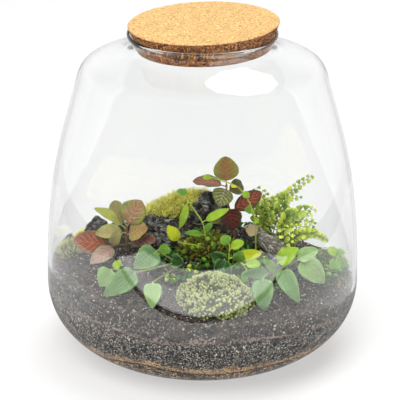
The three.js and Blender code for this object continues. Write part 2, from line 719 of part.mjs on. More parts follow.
const stoneRoom = joined(stones.map(([, shape]) => stone(shape, CLEARANCE)));
const woodRoom = woodStub(CLEARANCE);
const roots = [
  ...plants.map(([, { stems, radius }]) => ({ foot: stems[0][0], next: stems[0][1], radius })),
  ...FERN.fronds.map(({ foot, middle }) => ({ foot, next: middle, radius: FERN.ribWidth / 2 })),
];
const rootHoles = joined(roots.map(rootHole));
const plantRoom = joined([
  ...plants.map(([, form]) => plant(form, CLEARANCE)),
  ...FERN.fronds.map((form) => frond(form, CLEARANCE)),
]);

const gritTop = below(gritHeight, LAYER_CELLS);
const gritRoom = below(gritHeight, LAYER_CELLS, CLEARANCE);
const charcoalTop = below(charcoalHeight, LAYER_CELLS);
const charcoalRoom = below(charcoalHeight, LAYER_CELLS, CLEARANCE);
const groundTop = below(groundHeight, GROUND_CELLS);
const groundRoom = below(groundHeight, GROUND_CELLS, CLEARANCE);

terrarium.add(meshOf("drainage_grit", room.intersect(gritTop), "grit"));
terrarium.add(meshOf("charcoal", room.intersect(charcoalTop).subtract(gritRoom), "charcoal"));

const soil = room.intersect(groundTop).subtract(charcoalRoom);
const openSoil = soil.subtract(stoneRoom).subtract(woodRoom).subtract(rootHoles);
terrarium.add(meshOf("soil", mainBody(openSoil), "soil"));

for (const [name, shape] of stones) {
  terrarium.add(meshOf(name, stone(shape), shape.pale ? "paleStone" : "stone"));
}
terrarium.add(meshOf("wood_stub", mainBody(woodStub().subtract(stoneRoom)), "wood"));

for (const [name, shape] of mosses) {
  const rest = cushion(shape).subtract(groundRoom).subtract(stoneRoom).subtract(woodRoom).subtract(plantRoom);
  const colour = shape.pale ? "paleMoss" : "moss";
  terrarium.add(meshOf(name, mainBody(rest.intersect(room)), colour, ROUGHNESS.moss));
}

for (const [name, form] of plants) {
  terrarium.add(meshOf(name, plant(form), form.colour, ROUGHNESS.leaf));
}
FERN.fronds.forEach((form, index) => {
  terrarium.add(meshOf(`fern_frond_${index + 1}`, frond(form), "fern", ROUGHNESS.leaf));
});

export default terrarium;
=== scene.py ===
"""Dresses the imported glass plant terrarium: glass, cork, layered ground, stones, moss and plants.

Blender 4.5, metres, +Z up, the jar's front towards -Y. Sizes below are in millimetres and are brought
to metres when a mesh is made.
"""

import math

import bmesh
import bpy
import numpy as np
from mathutils import Matrix, Vector, noise


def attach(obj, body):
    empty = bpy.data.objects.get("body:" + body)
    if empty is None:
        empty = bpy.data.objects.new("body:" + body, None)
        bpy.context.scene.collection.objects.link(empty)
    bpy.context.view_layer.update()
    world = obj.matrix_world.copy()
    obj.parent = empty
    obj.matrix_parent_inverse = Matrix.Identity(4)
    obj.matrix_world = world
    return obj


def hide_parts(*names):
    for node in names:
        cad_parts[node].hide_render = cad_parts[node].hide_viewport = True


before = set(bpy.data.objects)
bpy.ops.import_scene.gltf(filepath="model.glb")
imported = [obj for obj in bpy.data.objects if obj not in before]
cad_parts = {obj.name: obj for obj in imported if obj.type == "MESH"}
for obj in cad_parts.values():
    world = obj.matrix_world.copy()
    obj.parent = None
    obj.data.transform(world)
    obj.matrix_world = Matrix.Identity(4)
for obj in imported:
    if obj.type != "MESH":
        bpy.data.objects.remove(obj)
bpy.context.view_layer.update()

bl_info = {
    "name": "Glass plant terrarium",
    "version": (1, 0, 0),
    "blender": (4, 5, 0),
    "location": "3D View > Sidebar > Terrarium",
    "description": "Builds the glass, cork, ground, stones, moss and plants of a terrarium, and its stage",
    "category": "Object",
}

MM = 0.001

# The jar and the cork, in millimetres, as the solids have them
JAR = {
    "foot": 76, "belly": 125, "shoulder": 99, "throat": 62, "neck": 56, "rim": 59.2, "belly_height": 59,
    "shoulder_height": 225, "throat_height": 246, "neck_height": 252.5, "rim_height": 262,
    "shoulder_lean": 14.4, "crown_fall": 20, "foot_glass": 6, "wall_glass": 3, "rim_glass": 2.4,
}
CORK = {
    "top_radius": 59.3, "bottom_radius": 51.3, "thickness": 20.6, "top_height": 269.6, "tilt": 2,
    "chamfer": 0.8,
}

# Between the ground and the glass, in millimetres
CLEARANCE = 0.3

# The photograph's frame, and how far it is off the jar's axis, in pixels
PHOTO_SIDE = 400
PHOTO_SHIFT = (-2.5, -21.47)

# Middle, half of each side and turn in degrees
STONES = {
    "rock_peak": {"centre": (3, 6, 112), "size": (18, 15, 15), "turn": 20, "seed": 3},
    "rock_ridge": {"centre": (-32, -6, 98), "size": (25, 15, 13), "turn": 24, "seed": 8},
    "rock_slab": {"centre": (-24, -29.5, 100), "size": (14, 8, 9), "turn": -15, "seed": 5},
    "rock_left_tall": {"centre": (-87, 30, 82), "size": (9, 8, 14), "turn": 10, "seed": 12},
    "rock_left_low": {"centre": (-66, 27, 84), "size": (11, 8, 9), "turn": 0, "seed": 17},
    "rock_right": {"centre": (63, -42, 79), "size": (13, 10, 14), "turn": 30, "seed": 21},
}
WOOD_ROUTE = ((38, -18, 104), (46, -23, 99), (56, -27, 92), (64, -30, 84))
WOOD_RADIUS = 6

MOSSES = {
    "moss_front": {"centre": (9, -89, 70), "size": (28, 23, 23), "seed": 4},
    "moss_ridge": {"centre": (-25, 9, 109), "size": (29, 12, 10), "rise": 0.38, "seed": 9},
    "moss_centre": {"centre": (3, -36, 95), "size": (20, 13, 9), "seed": 14},
    "moss_left": {"centre": (-108, 4, 71), "size": (11, 19, 11), "seed": 19},
    "moss_behind_left": {"centre": (-97, 46, 66), "size": (10, 13, 10), "seed": 23},
    "moss_right": {"centre": (100, 14, 58), "size": (19, 24, 9), "seed": 27},
    "moss_back": {"centre": (-14, 74, 66), "size": (30, 17, 10), "seed": 31},
}

# The moss's usual least spacing and shoot size, in metres
USUAL_SPACING = 0.0012
USUAL_SHOOT = 0.0022

# Where small growth covers the soil: the middle and the half-widths of each patch
VERDANT = ((14, -48, 54, 30), (92, -14, 28, 30), (-6, 40, 70, 34))

# Leaf outlines: the powers that the half-width follows from base and tip, and the reach of the lobes
OVATE = {"base": 0.6, "tip": 0.7, "lobe": 0}
HEART = {"base": 0.35, "tip": 0.9, "lobe": 0.12}
ROUND = {"base": 0.45, "tip": 0.55, "lobe": 0}
NARROW = {"base": 0.6, "tip": 0.8, "lobe": 0}
FRONT = (0, -3, 1)
OPEN = (0, -1, 1)
FLAT = (0, -1, 3)

# Colours of single leaves: the blade's middle, its rim and its veins
LEAF_LOOKS = {
    "olive_pink": ("#96764A", "#88983E", "#F0B896"), "olive_lime": ("#A9AE3C", "#A0B63A", "#CFC07E"),
    "olive_brown": ("#8A8442", "#8E9640", "#C0A26A"), "straw_olive": ("#B8AE66", "#B8BC5C", "#D6C28C"),
    "golden_brown": ("#B08E54", "#AAA44E", "#E2B47C"), "dusky_maroon": ("#7E5044", "#82724E", "#DA9280"),
    "red_brown": ("#84401F", "#7A4E2A", "#F08450"), "pale_rose": ("#B89284", "#A49A7C", "#E4BCAE"),
    "copper_rim": ("#96743E", "#90A238", "#E8A466"), "rose_brown": ("#9C6E58", "#7E7848", "#EAA08C"),
    "green_cream": ("#5A6A22", "#6E8230", "#F0E2B6"), "scarlet_vein": ("#6E3424", "#444218", "#F07A5C"),
    "deep_maroon": ("#30120B", "#2E3012", "#9A3424"), "dark_olive": ("#545420", "#667229", "#AE845C"),
    "lemon": ("#D0DC0C", "#C0D208", "#E2EA5C"), "apple": ("#A6CE2A", "#98C226", "#D0E47A"),
    "leaf_green": ("#6CA22A", "#7EB434", "#B6D472"), "bottle": ("#1E4816", "#6A9C48", "#86AE62"),
    "ivy_light": ("#90B668", "#A2C67E", "#CCE0B0"), "ivy_mid": ("#6C9454", "#80A868", "#AECA98"),
    "ivy_dark": ("#4C743E", "#5E884C", "#90B07A"),
}

# Stems are points. A leaf is its stem, share of that stem, tip, width, facing and look
NET_PLANTS = {
    "net_plant_left": {
        "stems": (
            ((-60, -22, 77), (-60, -22, 92), (-60, -23, 100), (-60, -23, 109)),
            ((-60, -22, 91), (-65, -27, 94), (-71, -34, 95)),
        ),
        "leaves": (
            (0, 0.95, (-48, -20, 129), 22, (-1, -3, 1), "olive_pink"),
            (0, 0.9, (-86, -12, 120), 9, (1, -2, 2), "olive_lime"),
            (0, 1, (-72, -8, 124), 16, (-1, -2, 1), "olive_brown"),
            (0, 0.8, (-84, -36, 107), 13, OPEN, "straw_olive"),
            (0, 0.75, (-43, -34, 111), 18, OPEN, "golden_brown"),
            (0, 0.5, (-36, -33, 101), 13, OPEN, "dusky_maroon"),
            (1, 0.95, (-101, -36, 102), 19, (-1, -3, 2), "red_brown"),
            (1, 0.75, (-87, -52, 89), 14, (0, -2, 2), "pale_rose"),
            (1, 1, (-65, -42, 113), 9, FRONT, "straw_olive"),
        ),
    },
    "net_plant_centre": {
        "stems": (((25, -24, 84), (25, -24, 101), (22, -18, 116), (19, -11, 130), (19, -8, 138)),),
        "leaves": (
            (0, 1, (18, -6, 161), 20, FRONT, "copper_rim"),
            (0, 0.97, (-8, -5, 140), 13, (0, -1, 2), "rose_brown"),
            (0, 0.97, (13, -25, 126), 17, FRONT, "green_cream"),
            (0, 0.62, (47, -6, 131), 14, FRONT, "scarlet_vein"),
            (0, 0.7, (24, -33, 109), 18, (0, -2, 1), "deep_maroon"),
            (0, 0.9, (32, 6, 134), 13, FRONT, "dark_olive"),
            (0, 0.5, (3, -21, 115), 11, OPEN, "dark_olive"),
        ),
    },
}

CREEPERS = {
    "creeper_centre": {
        "outline": NARROW,
        "stems": (
            ((3, -40, 82), (3, -40, 99), (0, -38, 117), (-7, -33, 127), (-13, -28, 135)),
            ((3, -40, 97), (-8, -46, 102), (-18, -47, 104)),
        ),
        "leaves": (
            (0, 1, (-19, -18, 138), 9, FLAT, "leaf_green"),
            (0, 0.95, (-18, -38, 112), 6.5, (1, -3, 1), "apple"),
            (0, 0.6, (21, -40, 130), 7.5, OPEN, "apple"),
            (0, 0.42, (-14, -46, 112), 5.5, OPEN, "leaf_green"),
            (0, 0.45, (8, -44, 120), 5.5, OPEN, "leaf_green"),
            (1, 1, (-27, -48, 119), 10, FRONT, "lemon"),
        ),
    },
    "creeper_arch": {
        "outline": NARROW,
        "stems": (((42, -32, 75), (42, -32, 92), (40, -30, 122), (29, -25, 141), (8, -22, 149)),),
        "leaves": (
            (0, 0.45, (44, -36, 117), 6, FRONT, "apple"),
            (0, 0.55, (33, -34, 126), 6.5, FRONT, "leaf_green"),
            (0, 0.72, (37, -29, 135), 6, FRONT, "apple"),
            (0, 0.8, (23, -31, 144), 6, OPEN, "lemon"),
            (0, 1, (0, -22, 149), 5, OPEN, "apple"),
        ),
    },
    "creeper_front": {
        "outline": ROUND,
        "stems": (
            ((20, -58, 70), (20, -58, 87), (21, -57, 106)),
            ((20, -58, 85), (29, -65, 95), (34, -70, 91)),
            ((20, -58, 88), (17, -66, 98)),
        ),
        "leaves": (
            (0, 1, (15, -53, 112), 9, OPEN, "leaf_green"),
            (0, 0.9, (32, -54, 108), 8, OPEN, "apple"),
            (0, 0.7, (46, -56, 99), 9, (0, -2, 1), "lemon"),
            (0, 0.6, (7, -60, 100), 10, FRONT, "bottle"),
            (1, 0.5, (30, -67, 105), 10, FRONT, "leaf_green"),
            (1, 1, (31, -80, 84), 6, FRONT, "leaf_green"),
            (2, 1, (10, -72, 92), 9, FRONT, "bottle"),
            (2, 0.9, (21, -76, 88), 7, FRONT, "bottle"),
            (1, 0.8, (45, -66, 94), 8, OPEN, "apple"),
        ),
    },
    "creeper_right": {
        "outline": ROUND,
        "stems": (((107, 2, 50), (107, 2, 64), (108, 0, 70), (109, -3, 74)),),
        "leaves": (
            (0, 0.9, (104, -14, 66), 10, FRONT, "leaf_green"),
            (0, 1, (114, -9, 66), 8, FRONT, "leaf_green"),
            (0, 0.95, (102, 3, 80), 8, OPEN, "apple"),
            (0, 1, (113, 4, 78), 7, OPEN, "leaf_green"),
        ),
    },
}

IVIES = {
    "ivy_left": {
        "outline": HEART,
        "stems": (
            ((-21, -56, 74), (-21, -56, 82), (-21, -56, 90), (-35, -60, 103)),
            ((-21, -56, 91), (-33, -69, 93), (-50, -74, 91), (-70, -69, 91)),
            ((-21, -56, 86), (-32, -80, 89), (-38, -90, 89)),
        ),
        "leaves": (
            (1, 1, (-79, -75, 79), 17, FRONT, "ivy_light"),
            (1, 0.95, (-64, -64, 97), 7, OPEN, "apple"),
            (1, 0.65, (-76, -87, 76), 18, (0, -2, 1), "ivy_mid"),
            (2, 1, (-38, -104, 73), 14, FRONT, "ivy_light"),
            (0, 1, (-53, -70, 92), 19, (0, -2, 1), "ivy_mid"),
            (0, 0.6, (-14, -63, 93), 12, FRONT, "bottle"),
            (0, 0.8, (-30, -55, 107), 10, OPEN, "leaf_green"),
        ),
    },
    "ivy_right": {
        "outline": HEART,
        "stems": (
            ((54, -62, 58), (54, -62, 78), (58, -58, 91)),
            ((54, -62, 76), (51, -78, 91), (46, -86, 91)),
            ((54, -62, 80), (64, -61, 90), (76, -54, 93)),
        ),
        "leaves": (
            (1, 1, (47, -98, 68), 17, FRONT, "ivy_mid"),
            (1, 0.75, (30, -84, 92), 10, (0, -2, 2), "ivy_dark"),
            (2, 0.35, (74, -84, 69), 15, FRONT, "ivy_mid"),
            (2, 1, (95, -56, 73), 18, FRONT, "ivy_light"),
            (0, 1, (75, -52, 102), 13, (0, -2, 1), "apple"),
            (0, 0.8, (46, -66, 98), 8, OPEN, "leaf_green"),
            (2, 0.9, (91, -42, 97), 12, OPEN, "ivy_light"),
        ),
    },
}

# The fern's fronds: foot, middle, tip, pairs of leaflets, their facing, and the sides of further ribs
FRONDS = (
    ((53, 1, 80), (68, 3, 124), (88, 4, 142), 10, (-1, -3, 2), ()),
    ((57, -7, 80), (70, -11, 113), (90, -12, 119), 8, (-1, -3, 2), ()),
    ((48, 4, 80), (43, 10, 112), (44, 14, 128), 6, (1, -3, 1), (1,)),
    ((51, 8, 80), (59, 18, 114), (76, 26, 121), 7, (-1, -3, 2), (1, -1)),
    ((65, -10, 77), (73, -21, 105), (88, -25, 110), 7, (-1, -3, 3), (1,)),
    ((69, -4, 75), (82, -14, 99), (100, -20, 95), 8, (0, -2, 3), (-1,)),
    ((62, -4, 78), (63, -29, 111), (66, -50, 93), 7, (0, -1, 1), (-1,)),
    ((48, -4, 80), (49, -9, 116), (50, -11, 132), 6, (0, -3, 1), (1,)),
    ((60, 1, 80), (72, 3, 108), (88, 5, 108), 6, (-1, -3, 3), (1, -1)),
)


# Small helpers


def linear(code):
    """A colour from its six-figure code, in linear light with full alpha."""
    values = [int(code[i : i + 2], 16) / 255 for i in (1, 3, 5)]
    return (*[v / 12.92 if v <= 0.04045 else ((v + 0.055) / 1.055) ** 2.4 for v in values], 1.0)


def placed(name, data):
    """A new object in the scene."""
    made = bpy.data.objects.new(name, data)
    bpy.context.scene.collection.objects.link(made)
    return made


def mark_corners(mesh, name, values):
    """Puts a number, a vector or a colour on each corner of a mesh."""
    values = np.array(values, np.float32)
    kinds = {1: ("FLOAT", "value"), 3: ("FLOAT_VECTOR", "vector"), 4: ("FLOAT_COLOR", "color")}
    kind, key = kinds[values.size // len(values)]
    mesh.attributes.new(name, kind, "POINT").data.foreach_set(key, values.ravel())


def chance(seed, index):
    """A repeatable number from 0 to 1 for a seed and an index."""
    wave = math.sin(seed * 127.1 + index * 311.7) * 43758.5453
    return wave - math.floor(wave)


def unit(vector):
    """The same direction with length 1."""
    vector = np.asarray(vector, float)
    return vector / np.linalg.norm(vector)


def smoothstep(low, high, value):
    """0 below low, 1 above high and a smooth rise between."""
    t = np.clip((value - low) / (high - low), 0, 1)
    return t * t * (3 - 2 * t)


def rough(points, size, octaves):
    """Fractal noise from about -1 to 1 at each point, with lumps of about that size."""
    return np.array([noise.fractal(Vector(p) / size, 0.8, 2.1, octaves) for p in points])


def grains(points, size):
    """For each point: how far it is from the middle of its grain, and a number that belongs to that grain."""
    far, own = np.empty(len(points)), np.empty(len(points))
    for i, point in enumerate(points):
        distances, places = noise.voronoi(Vector(point) / size)
        far[i] = distances[0]
        own[i] = noise.cell(places[0] * 57.0)
    return far, own


class Route:
    """A smooth curve through a few points, the one that the solids' stems follow."""

    STEPS = 60

    def __init__(self, points):
        points = [np.array(p, float) for p in points]
        padded = [2 * points[0] - points[1], *points, 2 * points[-1] - points[-2]]
        line = []
        for a, b, c, d in zip(padded, padded[1:], padded[2:], padded[3:]):
            first, middle, last = (np.linalg.norm(q - p) ** 0.5 for p, q in ((a, b), (b, c), (c, d)))
            leave = ((b - a) / first - (c - a) / (first + middle) + (c - b) / middle) * middle
            arrive = ((c - b) / middle - (d - b) / (middle + last) + (d - c) / last) * middle
            for t in np.linspace(0, 1, self.STEPS, endpoint=False):
                line.append(
                    b + leave * t + (
                        3 * (c - b) - 2 * leave - arrive
                    ) * t**2 + (2 * (b - c) + leave + arrive) * t**3
                )
        line.append(points[-1])
        self.line = np.array(line)
        self.reach = np.concatenate([[0], np.cumsum(np.linalg.norm(np.diff(self.line, axis=0), axis=1))])
        self.length = self.reach[-1]

    def place(self, share):
        """The point at a share of the curve's length."""
        wanted = share * self.length
        return np.array([np.interp(wanted, self.reach, self.line[:, axis]) for axis in range(3)])

    def direction(self, share):
        """The way that the curve runs at a share of its length."""
        return unit(self.place(min(share + 0.01, 1)) - self.place(max(share - 0.01, 0)))

    def frames(self, shares, across):
        """At each share: it, its point, and two directions across the curve that never twist."""
        for share in shares:
            along = self.direction(share)
            across = unit(across - along * across.dot(along))
            yield share, self.place(share), across, np.cross(along, across)


def ring(centre, across, other, sides, reach):
    """Corners round a centre, in a plane of two directions. reach is a function of the angle."""
    angles = [2 * math.pi * side / sides for side in range(sides)]
    return [centre + reach(a) * (across * math.cos(a) + other * math.sin(a)) for a in angles]


class Surface:
    """Gathers corners, faces and marks in millimetres, and becomes one mesh in metres."""

    def __init__(self):
        self.corners, self.faces, self.finishes = [], [], []
        self.marks = {}

    def add(self, corners, faces, finish=0, **marks):
        """Adds a patch. Each mark is one value for the patch or one for each of its corners."""
        start, count = len(self.corners), len(corners)
        self.corners.extend(np.asarray(corners, float).tolist())
        self.faces.extend([[start + i for i in face] for face in faces])
        self.finishes.extend([finish] * len(faces))
        for name, value in marks.items():
            value = np.asarray(value, float)
            if value.ndim == 0 or (value.ndim == 1 and len(value) in (2, 4) and count != len(value)):
                value = np.tile(value, (count, 1))
            self.marks.setdefault(name, []).append((start, value.reshape(count, -1)))

    def build(self, name, finishes):
        """Makes the object, smooth all over."""
        mesh = bpy.data.meshes.new(name)
        mesh.from_pydata((np.array(self.corners) * MM).tolist(), [], self.faces)
        for finish in finishes:
            mesh.materials.append(finish)
        mesh.polygons.foreach_set("material_index", self.finishes)
        mesh.polygons.foreach_set("use_smooth", [True] * len(self.faces))
        for mark, patches in self.marks.items():
            width = patches[0][1].shape[1]
            values = np.zeros((len(self.corners), width), np.float32)
            for start, patch in patches:
                values[start : start + len(patch)] = patch
            if width == 2:
                loops = np.empty(len(mesh.loops), np.int32)
                mesh.loops.foreach_get("vertex_index", loops)
                mesh.uv_layers.new(name=mark).data.foreach_set("uv", values[loops].ravel())
            else:
                mark_corners(mesh, mark, values)
        mesh.update()
        return placed(name, mesh)


def grid_faces(rows, columns):
    """Faces between the neighbours of a grid of corners, whose rows close on themselves."""
    faces = []
    for row in range(rows - 1):
        for column in range(columns):
            after = (column + 1) % columns
            a, b = row * columns, (row + 1) * columns
            faces.append((a + column, a + after, b + after, b + column))
    return faces


def end_fans(count, sides):
    """Faces that close both ends of a tube. Two end corners follow the corners of its rings, count in all."""
    faces = []
    for side in range(sides):
        after = (side + 1) % sides
        faces += [(count, after, side), (count + 1, count - sides + side, count - sides + after)]
    return faces


def revolve(surface, profile, sides, shift=None):
    """Turns a profile that starts and ends on the axis round it. shift moves the corners in between."""
    angles = np.linspace(0, 2 * math.pi, sides, endpoint=False)
    middle = np.array(profile[1:-1], float)
    radius, height = middle[:, :1], middle[:, 1:]
    rows = np.stack([radius * np.cos(angles), radius * np.sin(angles), height + 0 * angles], axis=-1)
    corners = rows.reshape(-1, 3)
    if shift is not None:
        corners = shift(corners)
    count = len(corners)
    ends = [(0, 0, profile[0][1]), (0, 0, profile[-1][1])]
    faces = grid_faces(len(middle), sides) + end_fans(count, sides)
    surface.add(np.vstack([corners, ends]), faces)


def tube(surface, route, radius, sides, rings, finish=0, **marks):
    """A closed round tube along a route. radius is a function of the share of its length."""
    across = unit(np.cross(route.direction(0), (0.31, 0.17, 0.94)))
    corners = []
    for share, centre, across, other in route.frames(np.linspace(0, 1, rings), across):
        corners += ring(centre, across, other, sides, lambda angle: radius(share))
    faces = grid_faces(rings, sides) + end_fans(len(corners), sides)
    surface.add([*corners, route.place(0), route.place(1)], faces, finish, **marks)


# The jar's wall and the heights inside it


def glass_thickness(height):
    """How thick the glass is at a height."""
    low = smoothstep(0, JAR["belly_height"], height)
    high = smoothstep(JAR["shoulder_height"], JAR["rim_height"], height)
    thick = JAR["foot_glass"] + (JAR["wall_glass"] - JAR["foot_glass"]) * low
    return thick - (JAR["wall_glass"] - JAR["rim_glass"]) * high


def wall_curves():
    """The outside of the wall from foot to lip, as curves of four points of radius and height."""
    lean = math.radians(JAR["shoulder_lean"])
    along = np.array([-math.sin(lean), math.cos(lean)])
    shoulder = np.array([JAR["shoulder"], JAR["shoulder_height"]], float)
    fall = math.radians(JAR["crown_fall"])
    outwards = np.array([math.cos(fall), -math.sin(fall)])
    throat = np.array([JAR["throat"], JAR["throat_height"]], float)
    belly, bulge, neck, rim = JAR["belly"], JAR["belly_height"], JAR["neck"], JAR["rim"]
    neck_height, lip = JAR["neck_height"], JAR["rim_height"] - JAR["rim_glass"] / 2
    return [
        ((JAR["foot"], 0), (JAR["foot"] + 2, 0), (belly, bulge - 46.4), (belly, bulge)),
        ((belly, bulge), (belly, bulge + 89), shoulder - along * 40, shoulder),
        (shoulder, shoulder + along * 18, throat + outwards * 24, throat),
        (throat, throat - outwards * 4, (neck, neck_height - 3), (neck, neck_height)),
        ((neck, neck_height), (neck, neck_height + 4), (rim, lip - 3), (rim, lip)),
    ]


def wall_line(inwards, steps=26):
    """Points up the wall, moved in from its outside by a distance that depends on the height."""
    line = []
    for number, curve in enumerate(wall_curves()):
        a, b, c, d = (np.array(p, float) for p in curve)
        for t in np.linspace(0, 1, steps + 1)[1 if number else 0 :]:
            point = a * (1 - t) ** 3 + 3 * b * t * (1 - t) ** 2 + 3 * c * t**2 * (1 - t) + d * t**3
            run = 3 * ((b - a) * (1 - t) ** 2 + 2 * (c - b) * t * (1 - t) + (d - c) * t**2)
            run = run / max(np.linalg.norm(run), 1e-9)
            line.append(point + np.array([-run[1], run[0]]) * inwards(point[1]))
    return np.array(line)


ROOM_LINE = wall_line(lambda height: glass_thickness(height) + CLEARANCE)
ROOM_LINE = ROOM_LINE[ROOM_LINE[:, 1] <= JAR["shoulder_height"]]
FLOOR_HEIGHT = JAR["foot_glass"] + CLEARANCE


def room_radius(height):
    """How far the room inside the jar reaches from the axis at a height."""
    return np.interp(height, ROOM_LINE[:, 1], ROOM_LINE[:, 0])


def ground_height(x, y):
    """The top of the soil."""
    rise = 43 * np.exp(-(x**2) / (2 * 55**2) - (y + 2) ** 2 / (2 * 44.7**2))
    lumps = np.sin(x / 7.3 + 1.5 * np.sin(y / 12)) + np.cos(y / 7.3 - 1.5 * np.sin(x / 12))
    return 61 - 0.07 * x - 0.05 * y + rise + 0.9 * lumps


def charcoal_height(x, y):
    """The top of the charcoal."""
    return 50 - 0.035 * x + 2 * np.sin(x / 21 + np.cos(y / 26))


def grit_height(x, y):
    """The top of the drainage grit."""
    return 23 - 0.02 * x + 2.5 * np.sin(x / 17 - y / 23)


def keep_inside(made):
    """Brings what reaches the glass back inside it."""
    mesh = made.data
    place = np.empty(len(mesh.vertices) * 3)
    mesh.vertices.foreach_get("co", place)
    place = place.reshape(-1, 3)
    radius = np.hypot(place[:, 0], place[:, 1])
    most = (room_radius(place[:, 2] / MM) - 0.35) * MM
    outside = radius > most
    place[outside, :2] *= (most[outside] / radius[outside])[:, None]
    mesh.vertices.foreach_set("co", place.ravel())
    mesh.update()


def settle(made, nodes):
    """Makes a finished piece ride with the part and stand for its solids."""
    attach(made, "root")
    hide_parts(*nodes)


# Shader helpers


class Graph:
    """A node tree with short ways to add nodes and link them."""

    def __init__(self, tree):
        self.tree = tree

    def node(self, kind, inputs=None, **settings):
        made = self.tree.nodes.new(kind)
        for name, value in settings.items():
            setattr(made, name, value)
        self.give(made.inputs, inputs or {})
        return made

    def first(self, kind, inputs=None, **settings):
        """The first output of a new node."""
        return self.node(kind, inputs, **settings).outputs[0]

    def give(self, sockets, values):
        """Feeds several sockets, by name or number."""
        for name, value in values.items():
            self.feed(sockets[name], value)

    def feed(self, socket, value):
        """Links a socket or sets its value. A colour may be a six-figure code."""
        if isinstance(value, bpy.types.NodeSocket):
            self.tree.links.new(value, socket)
        elif isinstance(value, str) and value.startswith("#"):
            socket.default_value = linear(value)
        else:
            socket.default_value = value

    def math(self, operation, first, second=0.0, third=0.0):
        return self.first("ShaderNodeMath", {0: first, 1: second, 2: third}, operation=operation)

    def times(self, first, second):
        return self.math("MULTIPLY", first, second)

    def plus(self, first, second):
        return self.math("ADD", first, second)

    def minus(self, first, second):
        return self.math("SUBTRACT", first, second)

    def vectors(self, operation, first, second):
        second = {3 if operation == "SCALE" else 1: second}
        return self.first("ShaderNodeVectorMath", {0: first, **second}, operation=operation)

    def mix(self, factor, first, second, blend="MIX"):
        made = self.node("ShaderNodeMix", data_type="RGBA", blend_type=blend, clamp_factor=True)
        self.give(made.inputs, {0: factor, 6: first, 7: second})
        return made.outputs[2]

    def darken(self, first, second):
        return self.mix(1.0, first, second, "MULTIPLY")

    def step(self, value, low, high, start=0.0, end=1.0):
        """A smooth rise from start to end while value goes from low to high."""
        inputs = {"Value": value, "From Min": low, "From Max": high, "To Min": start, "To Max": end}
        return self.first("ShaderNodeMapRange", inputs, interpolation_type="SMOOTHSTEP")

    def noise(self, vector, scale, detail, roughness=0.55):
        inputs = {"Vector": vector, "Scale": scale, "Detail": detail, "Roughness": roughness}
        return self.first("ShaderNodeTexNoise", inputs)

    def cells(self, vector, scale, feature="F1"):
        return self.node("ShaderNodeTexVoronoi", {"Vector": vector, "Scale": scale}, feature=feature)

    def bump(self, height, distance):
        return self.first("ShaderNodeBump", {"Height": height, "Distance": distance})

    def mark(self, name, output="Fac"):
        return self.node("ShaderNodeAttribute", attribute_name=name).outputs[output]

    def own_place(self):
        return self.node("ShaderNodeTexCoord").outputs["Object"]

    def either(self, share, first, second):
        """One shader where share is 0, the other where it is 1."""
        return self.first("ShaderNodeMixShader", {0: share, 1: first, 2: second})

    def dress(self, shader, colour, relief=None):
        """Gives a shader its colour and its relief."""
        self.feed(shader.inputs["Base Color"], colour)
        if relief is not None:
            self.feed(shader.inputs["Normal"], relief)

    def show(self, surface, target="Material"):
        self.node("ShaderNodeOutput" + target, {"Surface": surface})


def made_once(name):
    """Makes a function give the node group of that name, and build it only where there is none."""
    return lambda build: lambda: bpy.data.node_groups.get(name) or build()


def shader_group(name, inputs, outputs):
    """A new shader group, as (group, graph, its inputs, its outputs). An input set to None is a vector."""
    group = bpy.data.node_groups.new(name, "ShaderNodeTree")
    for label, default in inputs.items():
        kind = "Vector" if default is None else "Color" if isinstance(default, tuple) else "Float"
        socket = group.interface.new_socket(name=label, in_out="INPUT", socket_type="NodeSocket" + kind)
        if default is not None:
            socket.default_value = default
    for label in outputs:
        kind = "Color" if label == "Color" else "Float"
        group.interface.new_socket(name=label, in_out="OUTPUT", socket_type="NodeSocket" + kind)
    graph = Graph(group)
    return group, graph, graph.node("NodeGroupInput").outputs, graph.node("NodeGroupOutput").inputs


@made_once("Speckle")
def speckle_group():
    """Grains of mixed tone, each a little lighter or darker by chance, with painted shade in the gaps between
    them and a few bright flecks.
    """
    group, graph, given, result = shader_group(
        "Speckle",
        {
            "Vector": None, "Grain": 500.0, "Dark": (0.02, 0.02, 0.02, 1), "Light": (0.3, 0.3, 0.3, 1),
            "Fleck": (0.7, 0.7, 0.7, 1), "Light Share": 0.3, "Fleck Share": 0.03, "Gap": 0.5,
        },
        ("Color", "Height", "Shade"),
    )
    wave = graph.times(given["Grain"], 0.8)
    bend = graph.node(
        "ShaderNodeTexNoise", {"Vector": given["Vector"], "Scale": wave, "Detail": 2.0}
    ).outputs[1]
    reach = graph.math("DIVIDE", 0.9, given["Grain"])
    bend = graph.vectors("SCALE", bend, reach)
    moved = graph.vectors("ADD", bend, given["Vector"])
    cells = graph.cells(moved, given["Grain"])
    own = graph.node("ShaderNodeSeparateColor", {0: cells.outputs["Color"]}).outputs
    far = cells.outputs["Distance"]
    patchy = graph.noise(given["Vector"], graph.times(given["Grain"], 0.12), 3.0)
    bright = graph.math("MULTIPLY_ADD", patchy, 0.8, graph.minus(own[0], 0.4))
    shade = graph.step(bright, graph.minus(1.0, given["Light Share"]), 1.0)
    # Painted shade: the colour darkens towards each grain's edge, in the gaps where neighbouring grains shade
    # it.
    gap_shade = graph.step(far, 0.35, 0.75, 1.0, graph.minus(1.0, given["Gap"]))
    plain = graph.mix(shade, given["Dark"], given["Light"])
    plain = graph.darken(plain, graph.step(own[1], 0.0, 1.0, 0.55, 1.45))
    shaded = graph.darken(plain, gap_shade)
    rare = graph.math("GREATER_THAN", own[2], graph.minus(1.0, given["Fleck Share"]))
    colour = graph.mix(rare, shaded, given["Fleck"])
    graph.give(result, {"Color": colour, "Height": graph.minus(1.0, far), "Shade": shade})
    return group


